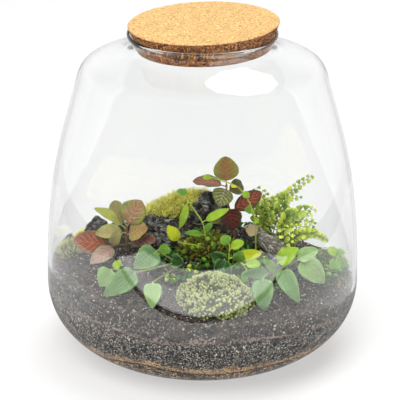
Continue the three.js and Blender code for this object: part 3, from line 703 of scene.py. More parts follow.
@made_once("Leaf veins")
def vein_group():
    """A leaf's midrib, side veins and net, from where a point lies across and along the blade."""
    group, graph, given, result = shader_group(
        "Leaf veins",
        {
            "UV": None, "Side Veins": 7.0, "Slant": 2.4, "Fan": 0.0, "Width": 0.06, "Net Scale": 9.0,
            "Net Width": 0.06, "Own": 0.0,
        },
        ("Main", "Net", "Across", "Along", "Height"),
    )
    parts = graph.node("ShaderNodeSeparateXYZ", {0: given["UV"]})
    sideways = graph.minus(parts.outputs[0], 0.5)
    along = parts.outputs[1]
    across = graph.times(graph.math("ABSOLUTE", sideways), 2.0)
    straight = graph.minus(
        graph.times(along, given["Side Veins"]), graph.times(graph.math("POWER", across, 0.8), given["Slant"])
    )
    angle = graph.math("ARCTAN2", across, graph.plus(along, 0.12))
    fanned = graph.times(angle, graph.times(given["Side Veins"], 0.6))
    both = graph.first("ShaderNodeMix", {0: given["Fan"], 2: straight, 3: fanned}, data_type="FLOAT")
    off = graph.math("ABSOLUTE", graph.minus(graph.math("FRACT", both), 0.5))
    wide = graph.times(given["Width"], given["Side Veins"])
    fade = graph.step(across, 0.5, 1.0, 1.0, 0.2)
    sides = graph.times(graph.step(off, 0.0, wide, 1.0, 0.0), fade)
    rib_width = graph.times(given["Width"], graph.step(along, 0.0, 1.0, 2.6, 0.9))
    rib = graph.step(across, 0.0, rib_width, 1.0, 0.0)
    main = graph.math("MAXIMUM", sides, rib)
    offset = graph.times(given["Own"], 37.0)
    place = graph.first("ShaderNodeCombineXYZ", {0: parts.outputs[0], 1: along, 2: offset})
    edges = graph.cells(place, given["Net Scale"], "DISTANCE_TO_EDGE").outputs[0]
    net = graph.step(edges, 0.0, given["Net Width"], 1.0, 0.0)
    sunk = graph.math("MULTIPLY_ADD", net, -0.4, graph.times(main, -1.0))
    graph.give(result, {"Main": main, "Net": net, "Across": across, "Along": along, "Height": sunk})
    return group


@made_once("Uneven tone")
def uneven_group():
    """A colour made uneven by soft patches and fine mottling."""
    group, graph, given, result = shader_group(
        "Uneven tone",
        {"Vector": None, "Color": (0.5, 0.5, 0.5, 1), "Patch": 60.0, "Amount": 0.3},
        ("Color", "Shade"),
    )
    soft = graph.noise(given["Vector"], given["Patch"], 3.0)
    fine = graph.noise(given["Vector"], graph.times(given["Patch"], 9.0), 2.0)
    mixed = graph.math("MULTIPLY_ADD", fine, 0.35, graph.times(soft, 0.65))
    high = graph.plus(1.0, given["Amount"])
    low = graph.minus(1.0, given["Amount"])
    shade = graph.first(
        "ShaderNodeMapRange",
        {"Value": mixed, "From Min": 0.3, "From Max": 0.7, "To Min": low, "To Max": high},
    )
    graph.give(result, {"Color": graph.darken(given["Color"], shade), "Shade": mixed})
    return group


def empty_graph(owner):
    """The emptied node tree of a material or a world, as a graph."""
    owner.use_nodes = True
    owner.node_tree.nodes.clear()
    return Graph(owner.node_tree)


def new_finish(name, roughness):
    """A material with a principled shader, as (material, graph, shader)."""
    finish = bpy.data.materials.new(name)
    graph = empty_graph(finish)
    shader = graph.node("ShaderNodeBsdfPrincipled", {"Roughness": roughness})
    graph.show(shader.outputs[0])
    return finish, graph, shader


def placed_group(graph, group, inputs):
    """Places a shader group in a material."""
    made = graph.node("ShaderNodeGroup", node_tree=group)
    graph.give(made.inputs, inputs)
    return made.outputs


def clear_glass(ior, tint):
    """Clear glass that lets lamplight and daylight straight through, and that damp ground clings to."""
    finish = bpy.data.materials.new("clear_glass")
    graph = empty_graph(finish)
    inputs = {"Base Color": (*tint, 1), "Roughness": 0.0, "IOR": ior, "Transmission Weight": 1.0}
    solid = graph.first("ShaderNodeBsdfPrincipled", inputs)
    open_way = graph.first("ShaderNodeBsdfTransparent")
    rays = graph.node("ShaderNodeLightPath").outputs
    dry = graph.either(rays["Is Shadow Ray"], graph.either(rays["Is Diffuse Ray"], solid, open_way), open_way)
    graph.show(graph.either(graph.step(graph.mark("damp"), 0.4, 0.6), dry, open_way))
    return finish


def grainy(
    name, dark, light, grain, light_share, gap_shade, fleck=None, fleck_share=0.0, tint=None, relief=0.0005,
    patchy=0.35, seep=None,
):
    """A finish of grains of two sizes: crumbs of soil, broken charcoal, grit or cork.

    tint colours large patches, seep is a colour that comes through from some share of the way down, and
    painted shade darkens the gaps between grains by the given share.
    """
    finish, graph, shader = new_finish(name, 0.9)
    place = graph.own_place()
    inputs = {
        "Vector": place, "Grain": grain, "Dark": dark, "Light": light, "Fleck": fleck or light,
        "Light Share": light_share, "Fleck Share": fleck_share, "Gap": gap_shade,
    }
    coarse = placed_group(graph, speckle_group(), inputs)
    fine = placed_group(
        graph, speckle_group(), {**inputs, "Grain": grain * 2.1, "Fleck Share": fleck_share * 1.6}
    )
    choice = graph.step(graph.noise(place, grain * 0.2, 2.0), 0.42, 0.58)
    colour = graph.mix(choice, coarse["Color"], fine["Color"])
    if tint:
        patches = graph.step(graph.noise(place, 55.0, 4.0, 0.65), 0.52, 0.66)
        colour = graph.mix(graph.times(patches, 0.75), colour, graph.mix(0.6, colour, tint))
    if seep:
        seeped, start = seep
        depth = graph.math("MULTIPLY_ADD", graph.noise(place, 70.0, 4.0, 0.65), 0.9, graph.mark("down"))
        amount = graph.times(
            graph.step(depth, start + 0.4, start + 0.55), graph.step(coarse["Height"], 0.3, 0.6)
        )
        colour = graph.mix(amount, colour, seeped)
    uneven = placed_group(
        graph, uneven_group(), {"Vector": place, "Color": colour, "Patch": 60.0, "Amount": patchy}
    )
    height = graph.math("MULTIPLY_ADD", fine["Height"], 0.35, coarse["Height"])
    graph.dress(shader, uneven["Color"], graph.bump(height, relief))
    return finish


def litter_finish(name, dark, light):
    """Loose bits on the ground, each with its own tone."""
    finish, graph, shader = new_finish(name, 0.9)
    place = graph.own_place()
    body = graph.mix(graph.mark("tone"), dark, light)
    uneven = placed_group(
        graph, uneven_group(), {"Vector": place, "Color": body, "Patch": 400.0, "Amount": 0.4}
    )
    graph.dress(shader, uneven["Color"], graph.bump(uneven["Shade"], 0.0003))
    return finish


def stone_finish(name, dark, light, streak):
    """Broken slate: dark stone in layers, each crack darkened nearly to black by painted shade, pale streaks
    and paler worn faces.
    """
    finish, graph, shader = new_finish(name, 0.62)
    place = graph.own_place()
    turned = graph.first(
        "ShaderNodeMapping", {"Vector": place, "Rotation": (0.5, -0.35, 0.2), "Scale": (75.0, 75.0, 520.0)}
    )
    layers = graph.noise(turned, 1.0, 6.0, 0.7)
    patches = graph.noise(place, 210.0, 5.0, 0.65)
    fine = graph.noise(place, 900.0, 3.0, 0.6)
    body = graph.mix(graph.step(patches, 0.4, 0.62), dark, light)
    pale = graph.times(graph.step(layers, 0.53, 0.6), graph.step(patches, 0.45, 0.56))
    body = graph.mix(pale, body, streak)
    # Painted shade: thin bands along the layers are darkened nearly to black, where shade falls into the
    # cracks.
    crack_shade = graph.step(layers, 0.36, 0.46, 0.12, 1.0)
    body = graph.darken(body, crack_shade)
    dusty = graph.step(fine, 0.3, 0.7, 0.6, 1.35)
    height = graph.math("MULTIPLY_ADD", layers, 0.8, graph.times(fine, 0.2))
    graph.dress(shader, graph.darken(body, dusty), graph.bump(height, 0.002))
    return finish


def leaf_finish(name, veins, roughness, vein_strength, net_strength, relief, rim_start=0.75):
    """A leaf whose middle, rim and vein colours are marked on each blade."""
    finish, graph, shader = new_finish(name, roughness)
    uv = graph.first("ShaderNodeUVMap", uv_map="blade")
    place = graph.own_place()
    own = graph.mark("own")
    pattern = placed_group(graph, vein_group(), {"UV": uv, "Own": own, **veins})
    wobble = graph.noise(place, 260.0, 3.0)
    rim_place = graph.math("MULTIPLY_ADD", wobble, 0.5, pattern["Across"])
    rim = graph.step(rim_place, rim_start, 1.2)
    body = graph.mix(rim, graph.mark("middle", "Color"), graph.mark("rim", "Color"))
    body = placed_group(
        graph, uneven_group(), {"Vector": place, "Color": body, "Patch": 190.0, "Amount": 0.22}
    )["Color"]
    net = graph.times(
        pattern["Net"], graph.step(pattern["Across"], 0.1, 1.0, net_strength, net_strength * 0.3)
    )
    main = graph.times(pattern["Main"], vein_strength)
    body = graph.mix(graph.math("MAXIMUM", net, main), body, graph.mark("veins", "Color"))
    pale = graph.mix(0.45, body, (0.42, 0.47, 0.28, 1.0))
    body = graph.mix(graph.mark("under"), body, pale)
    height = graph.math("MULTIPLY_ADD", wobble, 0.5, pattern["Height"])
    graph.dress(shader, body, graph.bump(height, relief))
    return finish


def marked_finish(name):
    """A plant finish whose colour is marked on the mesh, with some unevenness."""
    finish, graph, shader = new_finish(name, 0.6)
    place = graph.own_place()
    inputs = {"Vector": place, "Color": graph.mark("middle", "Color"), "Patch": 200.0, "Amount": 0.25}
    uneven = placed_group(graph, uneven_group(), inputs)
    graph.dress(shader, uneven["Color"], graph.bump(uneven["Shade"], 0.0002))
    return finish


def shoot_finish(name, dark, light, tip, tip_share, roughness=0.75, foot=0.5):
    """Moss shoots: each with its own tone, darkened towards its foot by painted shade and lighter towards its
    tip.
    """
    finish, graph, shader = new_finish(name, roughness)
    place = graph.own_place()
    tone = graph.mark("tone")
    patches = graph.step(graph.noise(place, 90.0, 3.0), 0.35, 0.65)
    mixed = graph.math("MULTIPLY_ADD", tone, 0.6, graph.times(patches, 0.4))
    body = graph.mix(mixed, dark, light)
    ends = graph.step(graph.mark("height"), 1.0 - tip_share, 1.0)
    body = graph.mix(ends, body, tip)
    # Painted shade: the colour darkens towards each shoot's foot, where the shoots shade each other; foot is
    # the share left at the very bottom.
    low = graph.step(graph.mark("height"), 0.0, 0.6, foot, 1.0)
    graph.dress(shader, graph.darken(body, low))
    return finish


# Geometry node trees


def geometry_tree(name, sockets):
    """A new geometry tree with named inputs, as (tree, graph, its inputs, its outputs)."""
    tree = bpy.data.node_groups.new(name, "GeometryNodeTree")
    for label, kind in sockets.items():
        tree.interface.new_socket(name=label, in_out="INPUT", socket_type="NodeSocket" + kind)
    tree.interface.new_socket(name="Geometry", in_out="OUTPUT", socket_type="NodeSocketGeometry")
    graph = Graph(tree)
    return tree, graph, graph.node("NodeGroupInput").outputs, graph.node("NodeGroupOutput").inputs


def copied(graph, places, piece, rotation, size, tone, material):
    """Copies of a small piece on points, each with its own tone, made real and given their material."""
    piece = graph.node("GeometryNodeObjectInfo", {"Object": piece}, transform_space="ORIGINAL")
    inputs = {"Points": places, "Instance": piece.outputs["Geometry"], "Rotation": rotation, "Scale": size}
    copies = graph.first("GeometryNodeInstanceOnPoints", inputs)
    inputs = {"Geometry": copies, "Name": "tone", "Value": tone}
    copies = graph.first("GeometryNodeStoreNamedAttribute", inputs, data_type="FLOAT", domain="INSTANCE")
    real = graph.first("GeometryNodeRealizeInstances", {"Geometry": copies})
    return graph.first("GeometryNodeSetMaterial", {"Geometry": real, "Material": material})


@made_once("Scatter on surface")
def scatter_tree():
    """Stands copies of a small piece on the marked parts of a surface, each turned and sized by chance."""
    sockets = {
        "Surface": "Geometry", "Piece": "Object", "Material": "Material", "Spacing": "Float",
        "Per Square Metre": "Float", "Smallest": "Float", "Largest": "Float", "Upright": "Float",
        "Lean": "Float", "Where": "String", "Seed": "Int",
    }
    tree, graph, given, result = geometry_tree("Scatter on surface", sockets)
    bare = graph.first("GeometryNodeInputNamedAttribute", {"Name": given["Where"]}, data_type="FLOAT")
    marked = graph.first(
        "FunctionNodeCompare", {0: bare, 1: 0.001}, data_type="FLOAT", operation="GREATER_THAN"
    )
    ground = graph.first(
        "GeometryNodeSeparateGeometry", {"Geometry": given["Surface"], "Selection": marked}, domain="FACE"
    )
    points = graph.node(
        "GeometryNodeDistributePointsOnFaces",
        {
            "Mesh": ground, "Distance Min": given["Spacing"], "Density Max": given["Per Square Metre"],
            "Density Factor": bare, "Seed": given["Seed"],
        },
        distribute_method="POISSON",
    )
    up = graph.first("ShaderNodeCombineXYZ", {2: given["Upright"]})
    lean = graph.first(
        "FunctionNodeRandomValue",
        {0: (-1, -1, -1), 1: (1, 1, 1), "Seed": given["Seed"]},
        data_type="FLOAT_VECTOR",
    )
    lean = graph.vectors("SCALE", lean, given["Lean"])
    way = graph.vectors("ADD", points.outputs["Normal"], up)
    way = graph.vectors("ADD", way, lean)
    aligned = graph.first("FunctionNodeAlignRotationToVector", {"Vector": way}, axis="Z")

    def drawn(low, high, extra):
        """A number by chance, with its own seed."""
        inputs = {2: low, 3: high, "Seed": graph.plus(given["Seed"], extra)}
        return graph.node("FunctionNodeRandomValue", inputs, data_type="FLOAT").outputs[1]

    spin = drawn(0.0, 6.2832, 11.0)
    turned = graph.first("ShaderNodeCombineXYZ", {2: spin})
    turned = graph.first("FunctionNodeEulerToRotation", {0: turned})
    turned = graph.first(
        "FunctionNodeRotateRotation", {"Rotation": aligned, "Rotate By": turned}, rotation_space="LOCAL"
    )
    size = drawn(given["Smallest"], given["Largest"], 23.0)
    places = points.outputs["Points"]
    for mark in ("planted", "verdant"):
        places = graph.first("GeometryNodeRemoveAttribute", {"Geometry": places, "Name": mark})
    tone = drawn(0.0, 1.0, 37.0)
    dressed = copied(graph, places, given["Piece"], turned, size, tone, given["Material"])
    both = graph.node("GeometryNodeJoinGeometry")
    tree.links.new(given["Surface"], both.inputs[0])
    tree.links.new(dressed, both.inputs[0])
    graph.feed(result["Geometry"], both.outputs[0])
    return tree


@made_once("Leaflets on a rib")
def leaflet_tree():
    """Places a leaflet at each marked point of a rib, pointing and facing as the point says."""
    sockets = {"Points": "Geometry", "Leaflet": "Object", "Material": "Material", "Length": "Float"}
    tree, graph, given, result = geometry_tree("Leaflets on a rib", sockets)

    def named(label, kind):
        return graph.first("GeometryNodeInputNamedAttribute", {"Name": label}, data_type=kind)

    outwards = graph.node(
        "FunctionNodeAlignRotationToVector", {"Vector": named("out", "FLOAT_VECTOR")}, axis="Y"
    )
    facing = graph.node(
        "FunctionNodeAlignRotationToVector",
        {"Rotation": outwards.outputs[0], "Vector": named("up", "FLOAT_VECTOR")},
        axis="Z",
        pivot_axis="Y",
    )
    size = graph.times(named("size", "FLOAT"), given["Length"])
    tone = named("tone", "FLOAT")
    dressed = copied(
        graph, given["Points"], given["Leaflet"], facing.outputs[0], size, tone, given["Material"]
    )
    graph.feed(result["Geometry"], dressed)
    return tree


def grow(made, tree, inputs):
    """Adds a node tree to an object with the values of its named inputs."""
    modifier = made.modifiers.new(tree.name, "NODES")
    modifier.node_group = tree
    for name, value in inputs.items():
        modifier[tree.interface.items_tree[name].identifier] = value


def scatter(made, piece, finish, spacing, smallest, largest, upright, lean, where, seed):
    """Stands copies of a small piece on an object, so many that only their spacing keeps them apart."""
    inputs = {
        "Piece": piece, "Material": finish, "Spacing": spacing, "Per Square Metre": 1.2 / spacing**2,
        "Smallest": smallest, "Largest": largest, "Upright": upright, "Lean": lean, "Where": where,
        "Seed": seed,
    }
    grow(made, scatter_tree(), inputs)


def made_plain(made):
    """Turns what the object's modifiers make into its plain mesh."""
    depsgraph = bpy.context.evaluated_depsgraph_get()
    depsgraph.update()
    mesh = bpy.data.meshes.new_from_object(
        made.evaluated_get(depsgraph), preserve_all_data_layers=True, depsgraph=depsgraph
    )
    old = made.data
    made.modifiers.clear()
    made.data = mesh
    if not old.users:
        bpy.data.meshes.remove(old)


def hidden_piece(surface, name):
    """A small piece that a node tree copies, kept out of the scene, in metres."""
    made = surface.build(name, [])
    bpy.context.scene.collection.objects.unlink(made)
    return made


# Small pieces that are copied


def spike(surface, base, tip, width, thick, height=(0.0, 1.0)):
    """A closed narrow leaf of six faces."""
    middle = 0.45
    base, tip = np.array(base, float), np.array(tip, float)
    along = unit(tip - base)
    side = unit(np.cross(along, (0.13, 0.07, 1))) * width / 2
    up = np.cross(side, along)
    up = unit(up) * thick
    belly = base + (tip - base) * middle
    corners = [base, belly - side, belly + side, belly + up, tip]
    faces = [(0, 3, 1), (0, 2, 3), (1, 3, 4), (3, 2, 4), (0, 1, 2), (1, 4, 2)]
    low, high = height
    part = low + (high - low) * middle
    surface.add(corners, faces, height=[low, part, part, part, high])


def star_tuft(seed):
    """A short moss shoot seen from above as a star of small leaves."""
    surface = Surface()
    for ring, (count, level, reach, rise) in enumerate(
        ((6, 0.35, 1.0, 0.25), (5, 0.7, 0.75, 0.5), (4, 0.95, 0.45, 0.6))
    ):
        for i in range(count):
            angle = 2 * math.pi * (i + 0.4 * ring + 0.3 * chance(seed, i + 7 * ring)) / count
            base = (0, 0, level - 0.15)
            tip = (reach * math.cos(angle), reach * math.sin(angle), level + rise)
            spike(surface, base, tip, 0.38, 0.07, (0.3 + 0.3 * ring, 0.55 + 0.2 * ring))
    spike(surface, (0, 0, -0.6), (0, 0, 1.1), 0.22, 0.2, (0, 0.5))
    return surface


def feather_shoot(seed):
    """A leaning moss shoot with short leaves all the way up."""
    surface = Surface()
    spine = Route(((0, 0, -0.4), (0.12, 0, 0.6), (0.5, 0, 1.5)))
    tube(surface, spine, lambda s: 0.06 * (1.1 - s), 3, 4, height=0.4)
    for i in range(11):
        share = 0.2 + 0.8 * i / 10
        angle = i * 2.4 + chance(seed, i)
        base = spine.place(share)
        away = np.array([math.cos(angle), math.sin(angle), 0.9])
        spike(
            surface, base, base + unit(away) * (0.62 - 0.3 * share), 0.17, 0.05,
            (share * 0.7, 0.3 + share * 0.7),
        )
    return surface


def small_blade(surface, base, tip, width, facing):
    """A closed rounded leaf of sixteen faces."""
    base, tip = np.array(base, float), np.array(tip, float)
    along = tip - base
    side = unit(np.cross(along, facing)) * width / 2
    up = unit(np.cross(side, along)) * np.linalg.norm(along)
    corners, marks = [], []
    for share, wide in ((0.0, 0.0), (0.3, 0.85), (0.68, 0.95), (1.0, 0.0)):
        middle = base + along * share
        rise = 0.14 * math.sin(math.pi * share)
        edge = up * rise * 1.4
        corners += [middle - side * wide + edge, middle + up * rise, middle + side * wide + edge]
        corners += [middle + up * (rise - 0.05 * math.sin(math.pi * share))]
        marks += [share] * 4
    keep = [1, 4, 5, 6, 7, 8, 9, 10, 11, 13]
    corners, marks = [corners[i] for i in keep], [marks[i] for i in keep]
    faces = [(0, 2, 1), (0, 3, 2), (1, 2, 6, 5), (2, 3, 7, 6), (5, 6, 9), (6, 7, 9)]
    faces += [(0, 1, 4), (0, 4, 3), (1, 5, 8, 4), (4, 8, 7, 3), (5, 9, 8), (8, 9, 7)]
    surface.add(corners, faces, height=marks)


def sprout(seed):
    """Four small round leaves on one foot."""
    surface = Surface()
    for i in range(4):
        angle = 2 * math.pi * (i + 0.5 * chance(seed, i)) / 4
        reach, rise = 0.95 - 0.15 * i * chance(seed, i + 5), 0.15 + 0.5 * chance(seed, i + 9)
        away = np.array((math.cos(angle), math.sin(angle), rise))
        small_blade(surface, away * 0.12 - (0, 0, 0.1), away * reach, 0.75, (0, 0, 1))
    return surface


def clover(seed):
    """A few round leaves that hang out from short stalks."""
    surface = Surface()
    for i in range(4):
        angle = 2 * math.pi * (i + 0.6 * chance(seed, i)) / 4
        away = np.array((math.cos(angle), math.sin(angle), 0))
        top = 0.55 + 0.6 * chance(seed, i + 5)
        base = away * 0.3 + (0, 0, top)
        tube(
            surface,
            Route(((0, 0, -0.15), away * 0.1 + (0, 0, top * 0.7), base + away * 0.05)),
            lambda s: 0.035,
            3,
            3,
        )
        small_blade(
            surface, base, base + away * 0.8 + (0, 0, -0.45 + 0.3 * chance(seed, i + 9)), 0.85, (0, 0, 1)
        )
    return surface


def needle_shoot(seed):
    """A few stiff needles from one foot."""
    surface = Surface()
    for i in range(5):
        angle = 2 * math.pi * (i + 0.5 * chance(seed, i)) / 5
        lean = 0.25 + 0.45 * chance(seed, i + 9)
        tip = (lean * math.cos(angle), lean * math.sin(angle), 0.75 + 0.35 * chance(seed, i + 20))
        spike(surface, (0, 0, -0.2), tip, 0.12, 0.05)
    return surface


def crumb(seed, flat=0.7):
    """A lump with broken sides."""
    ball = bmesh.new()
    bmesh.ops.create_icosphere(ball, subdivisions=1, radius=1)
    corners = [v.co * (0.7 + 0.45 * chance(seed, v.index)) for v in ball.verts]
    faces = [[v.index for v in f.verts] for f in ball.faces]
    ball.free()
    surface = Surface()
    surface.add([(c.x, c.y, c.z * flat) for c in corners], faces)
    return surface


def chip(seed):
    """A flat splinter of bark."""
    surface = Surface()
    corners = []
    for level in (-1, 1):
        for i in range(6):
            angle = 2 * math.pi * i / 6
            reach = 0.75 + 0.4 * chance(seed, i)
            corners.append((2.2 * reach * math.cos(angle), 0.7 * reach * math.sin(angle), 0.16 * level))
    faces = [(5, 4, 3, 2, 1, 0), (6, 7, 8, 9, 10, 11)]
    faces += [(i, (i + 1) % 6, 6 + (i + 1) % 6, 6 + i) for i in range(6)]
    surface.add(corners, faces)
    return surface


def straw(seed):
    """A thin bent fibre that lies on the ground."""
    surface = Surface()
    bend = 2 * chance(seed, 3) - 1
    route = Route(((-4, 0, 0.1), (-1, bend, 0.5), (2, bend * 0.5, 0.3), (4.5, -bend, 0.2)))
    tube(surface, route, lambda s: 0.13 * (1.2 - s), 4, 8)
    return surface


# Settings


class TerrariumGlass(bpy.types.PropertyGroup):
    """The jar."""

    sides: bpy.props.IntProperty(name="Sides", description="Faces round the jar", default=160, min=32)
    steps: bpy.props.IntProperty(
        name="Steps", description="Faces up each curve of the wall", default=26, min=4
    )
    ior: bpy.props.FloatProperty(
        name="Refraction", description="How strongly the glass bends light", default=1.48
    )
    tint: bpy.props.FloatVectorProperty(
        name="Tint", description="Colour of the glass", subtype="COLOR", size=3, default=(0.985, 0.992, 0.99)
    )


class TerrariumCork(bpy.types.PropertyGroup):
    """The cork lid."""

    sides: bpy.props.IntProperty(name="Sides", description="Faces round the cork", default=240, min=32)
    granule: bpy.props.FloatProperty(
        name="Granule", description="Size of the cork's granules", default=0.0014, unit="LENGTH"
    )
    top: bpy.props.FloatVectorProperty(
        name="Top", description="Colour of the cut top", subtype="COLOR", size=4, default=linear("#E2BC7E")
    )
    # The side's darker colour is partly painted shade on the cork's upright side, which gets less light than
    # the top.
    side: bpy.props.FloatVectorProperty(
        name="Side", description="Colour of the side", subtype="COLOR", size=4, default=linear("#BC6E22")
    )
    dark: bpy.props.FloatVectorProperty(
        name="Dark granules", description="Colour of the darkest granules", subtype="COLOR", size=4,
        default=linear("#4A2408"),
    )


class TerrariumGround(bpy.types.PropertyGroup):
    """The soil, the charcoal and the grit."""

    cell: bpy.props.FloatProperty(
        name="Surface detail", description="Distance between the corners of the ground", default=0.0019,
        unit="LENGTH",
    )
    soil: bpy.props.FloatVectorProperty(
        name="Soil", description="Colour of moist soil", subtype="COLOR", size=4, default=linear("#1D1917")
    )
    charcoal: bpy.props.FloatVectorProperty(
        name="Charcoal", description="Colour of the charcoal", subtype="COLOR", size=4,
        default=linear("#131211"),
    )
    grit: bpy.props.FloatVectorProperty(
        name="Grit", description="Colour of the clay grit", subtype="COLOR", size=4, default=linear("#DCB07A")
    )


class TerrariumStones(bpy.types.PropertyGroup):
    """The stones and the wood."""

    detail: bpy.props.IntProperty(
        name="Detail", description="Subdivisions of each stone", default=6, min=3, max=7
    )
    craggy: bpy.props.FloatProperty(
        name="Cragginess", description="How far the layers stand out", default=0.0018, unit="LENGTH"
    )
    dark: bpy.props.FloatVectorProperty(
        name="Dark stone", description="Colour of the slate", subtype="COLOR", size=4,
        default=linear("#1E1E1F"),
    )
    pale: bpy.props.FloatVectorProperty(
        name="Pale stone", description="Colour of the pale stone", subtype="COLOR", size=4,
        default=linear("#7F7F7C"),
    )


class TerrariumMoss(bpy.types.PropertyGroup):
    """The moss."""

    spacing: bpy.props.FloatProperty(
        name="Spacing", description="Least distance between two shoots", default=USUAL_SPACING, unit="LENGTH"
    )
    length: bpy.props.FloatProperty(
        name="Shoot size", description="Size of a moss shoot", default=USUAL_SHOOT, unit="LENGTH"
    )
    green: bpy.props.FloatVectorProperty(
        name="Green moss", description="Colour of the green moss", subtype="COLOR", size=4,
        default=linear("#F8FC58"),
    )
    pale: bpy.props.FloatVectorProperty(
        name="Pale moss", description="Colour of the star moss", subtype="COLOR", size=4,
        default=linear("#DEEC84"),
    )


class TerrariumLeaves(bpy.types.PropertyGroup):
    """The leaves."""

    rows: bpy.props.IntProperty(name="Rows", description="Faces along a leaf", default=24, min=8)
    columns: bpy.props.IntProperty(name="Columns", description="Faces across half a leaf", default=7, min=3)
    quilt: bpy.props.FloatProperty(
        name="Quilting", description="How far the blade swells between its veins, in widths", default=0.018
    )
    ripple: bpy.props.FloatProperty(
        name="Ripple", description="How far the edge waves, in widths", default=0.035
    )
    thickness: bpy.props.FloatProperty(
        name="Thickness", description="Thickness of a leaf at its middle", default=0.00045, unit="LENGTH"
    )


class TerrariumStage(bpy.types.PropertyGroup):
    """The camera, the lamps and the floor."""

    distance: bpy.props.FloatProperty(
        name="Distance", description="From camera to jar", default=1.8, unit="LENGTH"
    )
    elevation: bpy.props.FloatProperty(
        name="Elevation", description="How far the camera looks down", default=math.radians(20.42),
        subtype="ANGLE",
    )
    lens: bpy.props.FloatProperty(name="Lens", description="Focal length in millimetres", default=203.2)
    key: bpy.props.FloatProperty(
        name="Key", description="Power of the main lamp", default=46.0, subtype="POWER"
    )
    fill: bpy.props.FloatProperty(name="Fill", description="Brightness of the surroundings", default=0.42)


def settings():
    """All the values, from the scene."""
    return bpy.context.scene.terrarium


# Builders


def build_jar():
    """The glass jar, one closed wall with a rounded lip."""
    values = settings().glass
    outside = wall_line(lambda height: 0, values.steps)
    inside = wall_line(glass_thickness, values.steps)[::-1]
    half = JAR["rim_glass"] / 2
    middle = np.array([JAR["rim"] - half, outside[-1][1]])
    lip = [middle + half * np.array([math.cos(a), math.sin(a)]) for a in np.linspace(0, math.pi, 11)[1:-1]]
    foot = [(JAR["foot"] * share, 0) for share in (0.25, 0.5, 0.75, 0.96)]
    floor_edge = inside[-1][0]
    floor = [(floor_edge * share, JAR["foot_glass"]) for share in (0.98, 0.75, 0.5, 0.25)]
    profile = [(0, 0), *foot, *outside, *lip, *inside, *floor, (0, JAR["foot_glass"])]
    surface = Surface()
    revolve(surface, profile, values.sides)
    places = np.array(surface.corners)
    angles = np.linspace(0, 2 * math.pi, values.sides, endpoint=False)
    edges = np.array([edge_height(ground_height, a)[0] for a in angles])
    rows = len(profile) - 2
    first_inside = rows - len(inside) - len(floor)
    covered = np.clip((np.tile(edges, rows) - places[:-2, 2]) / 4 + 0.5, 0, 1)
    covered[: first_inside * values.sides] = 0
    surface.marks["damp"] = [(0, np.append(covered, [0, 1])[:, None])]
    made = surface.build("jar_glass", [clear_glass(values.ior, tuple(values.tint))])
    settle(made, ["glass_jar"])


def build_cork():
    """The tapered cork, pitted all over, a little askew in the mouth; its side's darker colour is partly
    painted shade.
    """
    values = settings().cork
    top, bottom, thick = CORK["top_radius"], CORK["bottom_radius"], CORK["thickness"]
    steps = np.linspace(0, 1, 26)
    side = [
        (
            bottom + (top - bottom) * s, -thick + CORK["chamfer"] + (thick - 2 * CORK["chamfer"]) * s
        ) for s in steps
    ]
    rings = np.linspace(0.04, 1, 46)
    under = [((bottom - CORK["chamfer"]) * s, -thick) for s in rings]
    upper = [((top - CORK["chamfer"]) * s, 0) for s in rings[::-1]]
    profile = [(0, -thick), *under, *side, *upper, (0, 0)]

    def pitted(corners):
        """Pits between the granules, deeper on the side than on the cut top."""
        far, own = grains(corners, 1.7)
        depth = 0.35 * smoothstep(0.5, 0.9, far) + 0.25 * own
        radius = np.hypot(corners[:, 0], corners[:, 1])
        on_side = (corners[:, 2] < -0.4) & (corners[:, 2] > -thick + 0.4)
        moved = corners.copy()
        scale = np.where(on_side, 1 - depth / np.maximum(radius, 1), 1)
        moved[:, :2] *= scale[:, None]
        moved[:, 2] -= np.where(corners[:, 2] > -0.4, 0.35 * depth, 0)
        return moved

    surface = Surface()
    revolve(surface, profile, values.sides, shift=pitted)
    tilt = math.radians(CORK["tilt"])
    shift = math.tan(tilt) * (top - bottom) * JAR["rim"] / thick
    place = np.array(surface.corners)
    level = np.array(surface.corners)
    turned_x = place[:, 0] * math.cos(tilt) - place[:, 2] * math.sin(tilt)
    place[:, 2] = place[:, 0] * math.sin(tilt) + place[:, 2] * math.cos(tilt)
    place[:, 0] = turned_x
    place += (shift, 0, CORK["top_height"])
    surface.corners = place.tolist()
    for number, face in enumerate(surface.faces):
        surface.finishes[number] = 0 if level[list(face), 2].mean() > -0.9 else 1
    grain = 1 / values.granule
    shade = mix_colours(values.top, values.side, 0.35)
    fleck = mix_colours(values.top, values.side, 0.8)
    cut = grainy(
        "cork_cut", shade, tuple(values.top), grain * 1.3, 0.9, 0.12, fleck, 0.05, None, 0.0002, 0.06
    )
    # Painted shade: the upright side gets a darker, browner colour and darker gaps than the cut top, partly
    # standing for the shade it gets.
    side = grainy(
        "cork_side", tuple(values.dark), tuple(values.side), grain, 0.85, 0.5, "#E09A50", 0.12, None, 0.0005,
        0.2,
    )
    made = surface.build("cork_stopper", [cut, side])
    settle(made, ["cork_lid"])


def mix_colours(first, second, share):
    """A colour between two."""
    return tuple(a + (b - a) * share for a, b in zip(first, second))


def edge_height(height, angle):
    """Where a layer's top meets the wall at an angle round the jar, as its height and radius."""
    level = 60.0
    for _ in range(12):
        radius = room_radius(level)
        level = height(radius * math.cos(angle), radius * math.sin(angle))
    return level, room_radius(level)


